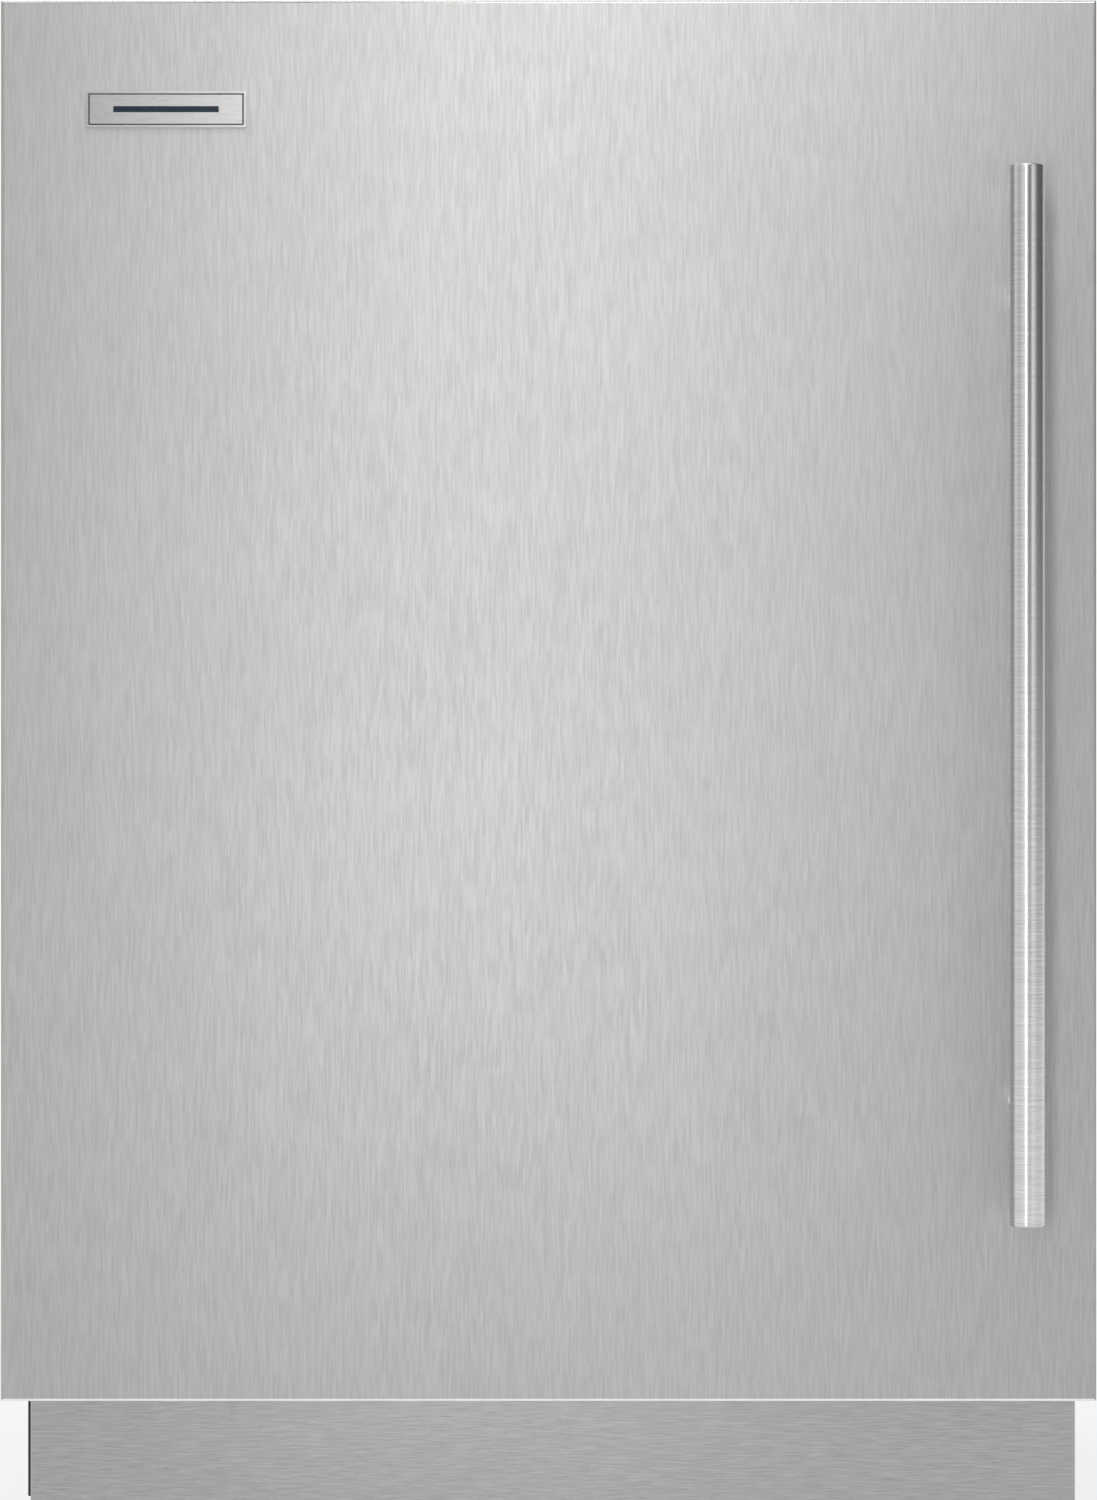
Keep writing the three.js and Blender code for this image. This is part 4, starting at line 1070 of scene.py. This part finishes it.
def pan_screw(name, radius, proud, toward):
    """A pan head screw with a cross recess, its face at the origin's side of toward."""
    head = turned(
        name,
        (0, 0, 0),
        [
            (radius, 0),
            (radius, 0.35 * proud),
            (0.92 * radius, 0.68 * proud),
            (0.72 * radius, 0.9 * proud),
            (0.4 * radius, proud),
        ],
        toward=toward,
        sides=32,
    )
    smoothed(head, 60)
    direction = Vector(toward)
    across = direction.orthogonal().normalized()
    for arm in (across, direction.cross(across)):
        reach = arm * 0.55 * radius + direction.cross(arm) * 0.13 * radius
        reach = Vector(abs(v) for v in reach)
        deep = Vector(abs(v) for v in direction) * 0.45 * proud
        spot = direction * proud
        slit = block("slit", spot - reach - deep, spot + reach + deep)
        cut(head, slit)
    return head


screw_inset = 9 * mm
screw_columns = 5
places = []
for i in range(screw_columns):
    x = low.x + screw_inset + i * (high.x - low.x - 2 * screw_inset) / (screw_columns - 1)
    places += [(x, high.y, z) for z in (low.z + screw_inset, high.z - screw_inset)]
places += [(x, high.y, (low.z + high.z) / 2) for x in (low.x + screw_inset, high.x - screw_inset)]
screw = pan_screw("cover_screw", 3.6 * mm, 2 * mm, (0, 1, 0))
finished(copied("rear_cover_screws", screw, places), "cabinet", zinc, "bracket_steel")

eased("power_inlet", "cabinet", black_plastic, "black_plastic", 0.5 * mm)
low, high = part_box("power_inlet")
middle = (low + high) / 2
pin_reach = 8 * mm
pin_foot = high.y - 12.5 * mm
pins = []
for across, rise in ((-7 * mm, -1.5 * mm), (0, 2.5 * mm), (7 * mm, -1.5 * mm)):
    pin = block(
        "pin",
        (middle.x + across - 1 * mm, pin_foot, middle.z + rise - 2 * mm),
        (middle.x + across + 1 * mm, pin_foot + pin_reach, middle.z + rise + 2 * mm),
    )
    pins.append(softened(pin, 0.4 * mm))
finished(joined("inlet_pins", pins), "cabinet", zinc, "bracket_steel")


# ---- The hinge brackets are thick steel, screwed to the cabinet's face, each with an arm and a
# pin that turns in a moulded bearing in the corner of the door.
for end in ("top", "bottom"):
    name = "hinge_bracket_" + end
    low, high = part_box(name)
    eased(name, "cabinet", zinc, "bracket_steel", 0.6 * mm, 3)
    bearing = "hinge_bearing_" + end
    eased(bearing, "door", black_plastic, "black_plastic", 0.8 * mm)
    screw = pan_screw("hinge_screw", 3.4 * mm, 1.8 * mm, (0, -1, 0))
    places = [(high.x - 5.5 * mm, high.y - 3.7 * mm, z) for z in (low.z + 9 * mm, high.z - 9 * mm)]
    finished(copied(name + "_screws", screw, places), "cabinet", zinc, "bracket_steel")


# ---- The door's liner is one vacuum-formed sheet: the door's sides, a flange for the gasket,
# a raised rim round the inside, and pegs that the bins hook over.
door_wall = 2 * mm
low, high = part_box("door_liner")
gasket_low, gasket_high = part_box("door_gasket")
flange_face = gasket_low.y - 0.3 * mm
rim_side = 248 * mm
rim_ends = (146 * mm, 812 * mm)
rim_width = 26 * mm
pocket_face = low.y + 53.7 * mm
peg_x = 150 * mm
peg_half = 9 * mm
peg_drop = 14.3 * mm
dairy_height = 90 * mm
inside = block("door_liner_sheet", low, (high.x, flange_face, high.z))
edit(inside)


def raise_middle(side, bottom, top, height):
    """Cuts the liner's face along four lines, and moves what lies between them in or out."""
    for place, across in (
        ((-side, 0, 0), (1, 0, 0)),
        ((side, 0, 0), (1, 0, 0)),
        ((0, 0, bottom), (0, 0, 1)),
        ((0, 0, top), (0, 0, 1)),
    ):
        pick_side(0, 1, 0)
        bpy.ops.mesh.bisect(plane_co=place, plane_no=across)

    def within(face):
        at = face.calc_center_median()
        return face.normal.y > 0.9 and abs(at.x) < side and bottom < at.z < top

    pick("faces", within)
    drawn(0, height, 0)


raise_middle(rim_side, *rim_ends, high.y - flange_face)
pocket_ends = (rim_ends[0] + rim_width, rim_ends[1] - rim_width)
raise_middle(rim_side - rim_width, *pocket_ends, pocket_face - high.y)
pick_side(0, -1, 0)
bpy.ops.mesh.delete(type="FACE")
pick("edges", bend)
rounded(5 * mm, 5)
done()
thickened(inside, door_wall)
smoothed(inside)
pegs = []
for name in ("bin_lower", "bin_upper", "dairy_box"):
    bin_low, bin_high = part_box(name)
    top = (bin_low.z + dairy_height if name == "dairy_box" else bin_high.z) - peg_drop
    for x in (-peg_x, peg_x):
        peg = block(
            "peg",
            (x - peg_half, pocket_face - 1 * mm, top - 6 * mm),
            (x + peg_half, bin_low.y + 8 * mm, top),
        )
        pegs.append(softened(peg, 1.2 * mm, 3))
finished(joined("door_liner_moulding", [inside] + pegs), "door", white_liner, "white_liner", "door_liner")


# ---- The gasket is an extruded grey seal, welded at its corners. It has a soft hollow bulb on
# the cabinet's side with a magnet in it, and is pushed into a groove round the door.
gasket_rubber = surface(
    "gasket_rubber", (0.17, 0.175, 0.18), (0.22, 0.225, 0.23), (600, 600, 600), 0, 0.6, 0.05, 0.2
)
gasket_width = 17 * mm
low, high = gasket_low, gasket_high
gasket = block("gasket_seal", low, high)
edit(gasket)
for way in (-1, 1):
    pick("faces", lambda face: face.normal.y * way > 0.9)
    inset(gasket_width)


def in_middle(face):
    at = face.calc_center_median()
    return abs(face.normal.y) > 0.9 and abs(at.x) < 1 * mm and abs(at.z - (low.z + high.z) / 2) < 1 * mm


pick("faces", in_middle)
bpy.ops.mesh.delete(type="FACE")
pick("edges", lambda edge: edge.is_boundary)
bpy.ops.mesh.bridge_edge_loops()
bpy.ops.mesh.select_all(action="SELECT")
bpy.ops.mesh.normals_make_consistent(inside=False)
pick("faces", lambda face: abs(face.normal.x) > 0.9 or abs(face.normal.z) > 0.9)
bpy.ops.mesh.inset(thickness=3.2 * mm, depth=-1.6 * mm, use_even_offset=True, use_boundary=True)
done()
finished(softened(gasket, 1.3 * mm, 4), "door", gasket_rubber, "gasket_rubber", "door_gasket")


# ---- The door bins and the dairy box are clear moulded tubs that hook down over the pegs. The
# dairy box has a lid that turns up about a rod along its back.
bin_wall = 2.2 * mm
hook_half = 10 * mm
hook_drop = 14 * mm
hook_reach = 9 * mm
for name in ("bin_lower", "bin_upper", "dairy_box"):
    low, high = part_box(name)
    top = low.z + dairy_height if name == "dairy_box" else high.z
    foot, mouth = (low.x, low.y + hook_reach, low.z), (high.x, high.y, top)
    parts = [tub(name + "_tub", foot, mouth, bin_wall, 10 * mm, 7 * mm)]
    for x in (-peg_x, peg_x):
        hook = block(
            "hook",
            (x - hook_half, low.y, top - hook_drop),
            (x + hook_half, low.y + hook_reach + 1 * mm, top),
        )
        parts.append(softened(hook, 1.5 * mm, 3))
    if name == "dairy_box":
        pivot_y, pivot_z = low.y + hook_reach + 4 * mm, top + 4 * mm
        for x0, x1 in ((low.x, low.x + bin_wall), (high.x - bin_wall, high.x)):
            ear = block("ear", (x0, pivot_y - 4 * mm, top - 4 * mm), (x1, pivot_y + 4 * mm, high.z))
            edit(ear)
            pick(
                "edges",
                lambda edge: centre(edge).z > high.z - 0.01 * mm
                and abs(edge.verts[0].co.x - edge.verts[1].co.x) > 1 * mm,
            )
            rounded(3.6 * mm, 6)
            done()
            hole = turned(
                "hole",
                (x0 - 1 * mm, pivot_y, pivot_z),
                [(2.8 * mm, 0), (2.8 * mm, x1 - x0 + 2 * mm)],
                toward=(1, 0, 0),
                sides=32,
            )
            parts.append(softened(cut(ear, hole), 0.25 * mm))
    finished(joined(name + "_moulding", parts), name, clear_plastic, "clear_plastic", name)
eased("dairy_lid", "dairy_lid", clear_plastic, "clear_plastic", 0.5 * mm)


# ---- The door's skin is one sheet of stainless steel, brushed from top to bottom, with its
# four edges bent back over the insulation. Two notches clear the arms of the hinge.
door_steel = surface(
    "door_steel", (0.42, 0.418, 0.415), (0.515, 0.513, 0.51), (1300, 1300, 70), 1.0, 0.41, 0.02, 0.05
)
skin_sheet = 1.2 * mm
skin_bend = 2 * mm
skin = block("door_skin_panel", door_low, door_high)
edit(skin)
pick_side(0, 1, 0)
bpy.ops.mesh.delete(type="FACE")
pick("edges", lambda edge: bend(edge) and centre(edge).y < door_low.y + 0.01 * mm)
rounded(skin_bend, 6)
done()
thickened(skin, skin_sheet)
arm_room = 9 * mm
for end in ("top", "bottom"):
    bearing_low, bearing_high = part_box("hinge_bearing_" + end)
    if end == "top":
        arm = (bearing_high.z, bearing_high.z + arm_room)
    else:
        arm = (bearing_low.z - arm_room, bearing_low.z)
    notch = block(
        "notch",
        (door_low.x - 1 * mm, door_low.y + skin_sheet + 0.3 * mm, arm[0]),
        (door_low.x + skin_bend + 1 * mm, door_high.y + 1 * mm, arm[1]),
    )
    cut(skin, notch)
finished(softened(skin, 0.2 * mm), "door", door_steel, "brushed_stainless", "door_skin")
# Its top and bottom bends get a far brighter, glossier steel than the face. This is a painted highlight that
# stands in for the bright lines the light draws along them.
painted_highlight_steel = surface(
    "painted_highlight_bend", (0.82, 0.82, 0.82), (0.92, 0.92, 0.92), (40, 40, 40), 1.0, 0.2, 0.03
)
skin.data.materials.append(painted_highlight_steel)
# Only the rounded faces of the top and bottom bends take the painted highlight.
for face in skin.data.polygons:
    if face.center.y < door_low.y + skin_bend and 0.2 < abs(face.normal.z) < 0.98:
        face.material_index = 1
# A black strip closes each end of the door between the skin and the liner.
liner_low, liner_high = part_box("door_liner")
strip_thick = 1.2 * mm
strip_span = (0.5 * mm, 9.2 * mm)
strip_back = liner_low.y - 0.3 * mm
for name, end_z in (("door_top_strip", door_high.z), ("door_bottom_strip", door_low.z)):
    inward = -1 if end_z == door_high.z else 1
    near, far = (end_z + inward * reach for reach in strip_span)
    strip = block(
        name,
        (liner_low.x, strip_back - strip_thick, min(near, far)),
        (liner_high.x, strip_back, max(near, far)),
    )
    finished(softened(strip, 0.2 * mm), "door", black_plastic, "black_plastic")


# ---- The handle is a round stainless bar with eased ends, brushed round its girth. It sits in
# the saddles of two posts, each with a collar against the door and a set screw.
bar_steel = surface(
    "handle_steel", (0.6, 0.6, 0.595), (0.72, 0.72, 0.715), (60, 60, 1500), 1.0, 0.25, 0.02, 0.04
)
low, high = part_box("handle_bar")
middle = (low + high) / 2
bar_radius = (high.x - low.x) / 2
bar_length = high.z - low.z
ease = 0.8 * mm
bar = turned(
    "handle_round",
    (middle.x, middle.y, low.z),
    [
        (bar_radius - ease, 0),
        (bar_radius - 0.3 * ease, 0.3 * ease),
        (bar_radius, ease),
        (bar_radius, bar_length - ease),
        (bar_radius - 0.3 * ease, bar_length - 0.3 * ease),
        (bar_radius - ease, bar_length),
    ],
    sides=128,
)
finished(smoothed(bar, 60), "door", bar_steel, "brushed_stainless", "handle_bar")
collar_radius = 7 * mm
for end in ("top", "bottom"):
    name = "handle_post_" + end
    post_low, post_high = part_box(name)
    post_middle = (post_low + post_high) / 2
    post = turned(
        name + "_turned",
        (post_middle.x, post_high.y, post_middle.z),
        [
            (collar_radius - 0.4 * mm, 0),
            (collar_radius, 0.4 * mm),
            (collar_radius, 3 * mm),
            (collar_radius - 0.9 * mm, 3.8 * mm),
            (collar_radius - 0.9 * mm, 33 * mm),
            (collar_radius, 36 * mm),
            (collar_radius, post_high.y - middle.y),
        ],
        toward=(0, -1, 0),
        sides=64,
    )
    saddle = turned(
        "saddle",
        (middle.x, middle.y, post_middle.z - 20 * mm),
        [(bar_radius + 0.3 * mm, 0), (bar_radius + 0.3 * mm, 40 * mm)],
        sides=96,
    )
    cut(post, saddle)
    grub = turned(
        "grub",
        (post_middle.x, post_high.y - 8 * mm, post_middle.z - collar_radius + 1.6 * mm),
        [(2 * mm, 0), (2 * mm, 1.2 * mm), (1 * mm, 1.2 * mm), (1 * mm, 0.4 * mm)],
        toward=(0, 0, -1),
        sides=6,
    )
    finished(smoothed(post, 35), "door", bar_steel, "brushed_stainless", name)
    finished(smoothed(grub, 30), "door", black_paint, "black_steel")


# ---- The badge is a small stainless plate with a bevelled rim, a dark line inside it and a
# plain dark enamel bar across its middle. It is stuck to the door.
badge_steel = surface(
    "badge_steel", (0.5, 0.5, 0.495), (0.6, 0.6, 0.595), (70, 1300, 1300), 1.0, 0.3, 0.03, 0.05
)
enamel = surface("enamel", (0.02, 0.03, 0.045), (0.03, 0.042, 0.06), (200, 200, 200), 0, 0.15, 0.03)
low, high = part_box("badge_plate")
plate_rim = 1.3 * mm
line = 0.55 * mm
groove = 0.35 * mm
plate = block("badge_face", (low.x, low.y + 0.3 * mm, low.z), high)
edit(plate)
pick_side(0, -1, 0)
inset(plate_rim)
inset(0.1 * mm, -groove)
inset(line)
inset(0.1 * mm, groove)
done()
finished(softened(plate, 0.08 * mm), "door", badge_steel, "brushed_stainless", "badge_plate")
deep = low.y + 0.3 * mm + groove
inner = plate_rim + 0.1 * mm
border = block(
    "badge_line",
    (low.x + inner, deep - 0.08 * mm, low.z + inner),
    (high.x - inner, deep + 0.02 * mm, high.z - inner),
)
edit(border)
pick_side(0, -1, 0)
inset(0.05 * mm, 0.02 * mm)
done()
finished(smoothed(border), "door", enamel, "black_plastic")
bar_half = 0.33 * (high.x - low.x)
bar_rise = 1.7 * mm
badge_middle = (low + high) / 2
bar_piece = block(
    "badge_bar",
    (badge_middle.x - bar_half, low.y, badge_middle.z - bar_rise),
    (badge_middle.x + bar_half, low.y + 0.5 * mm, badge_middle.z + bar_rise),
)
finished(softened(bar_piece, 0.25 * mm, 3), "door", enamel, "black_plastic")


# ---- The bounds of everything shown, modelled pieces included, are taken once more.
low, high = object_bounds()
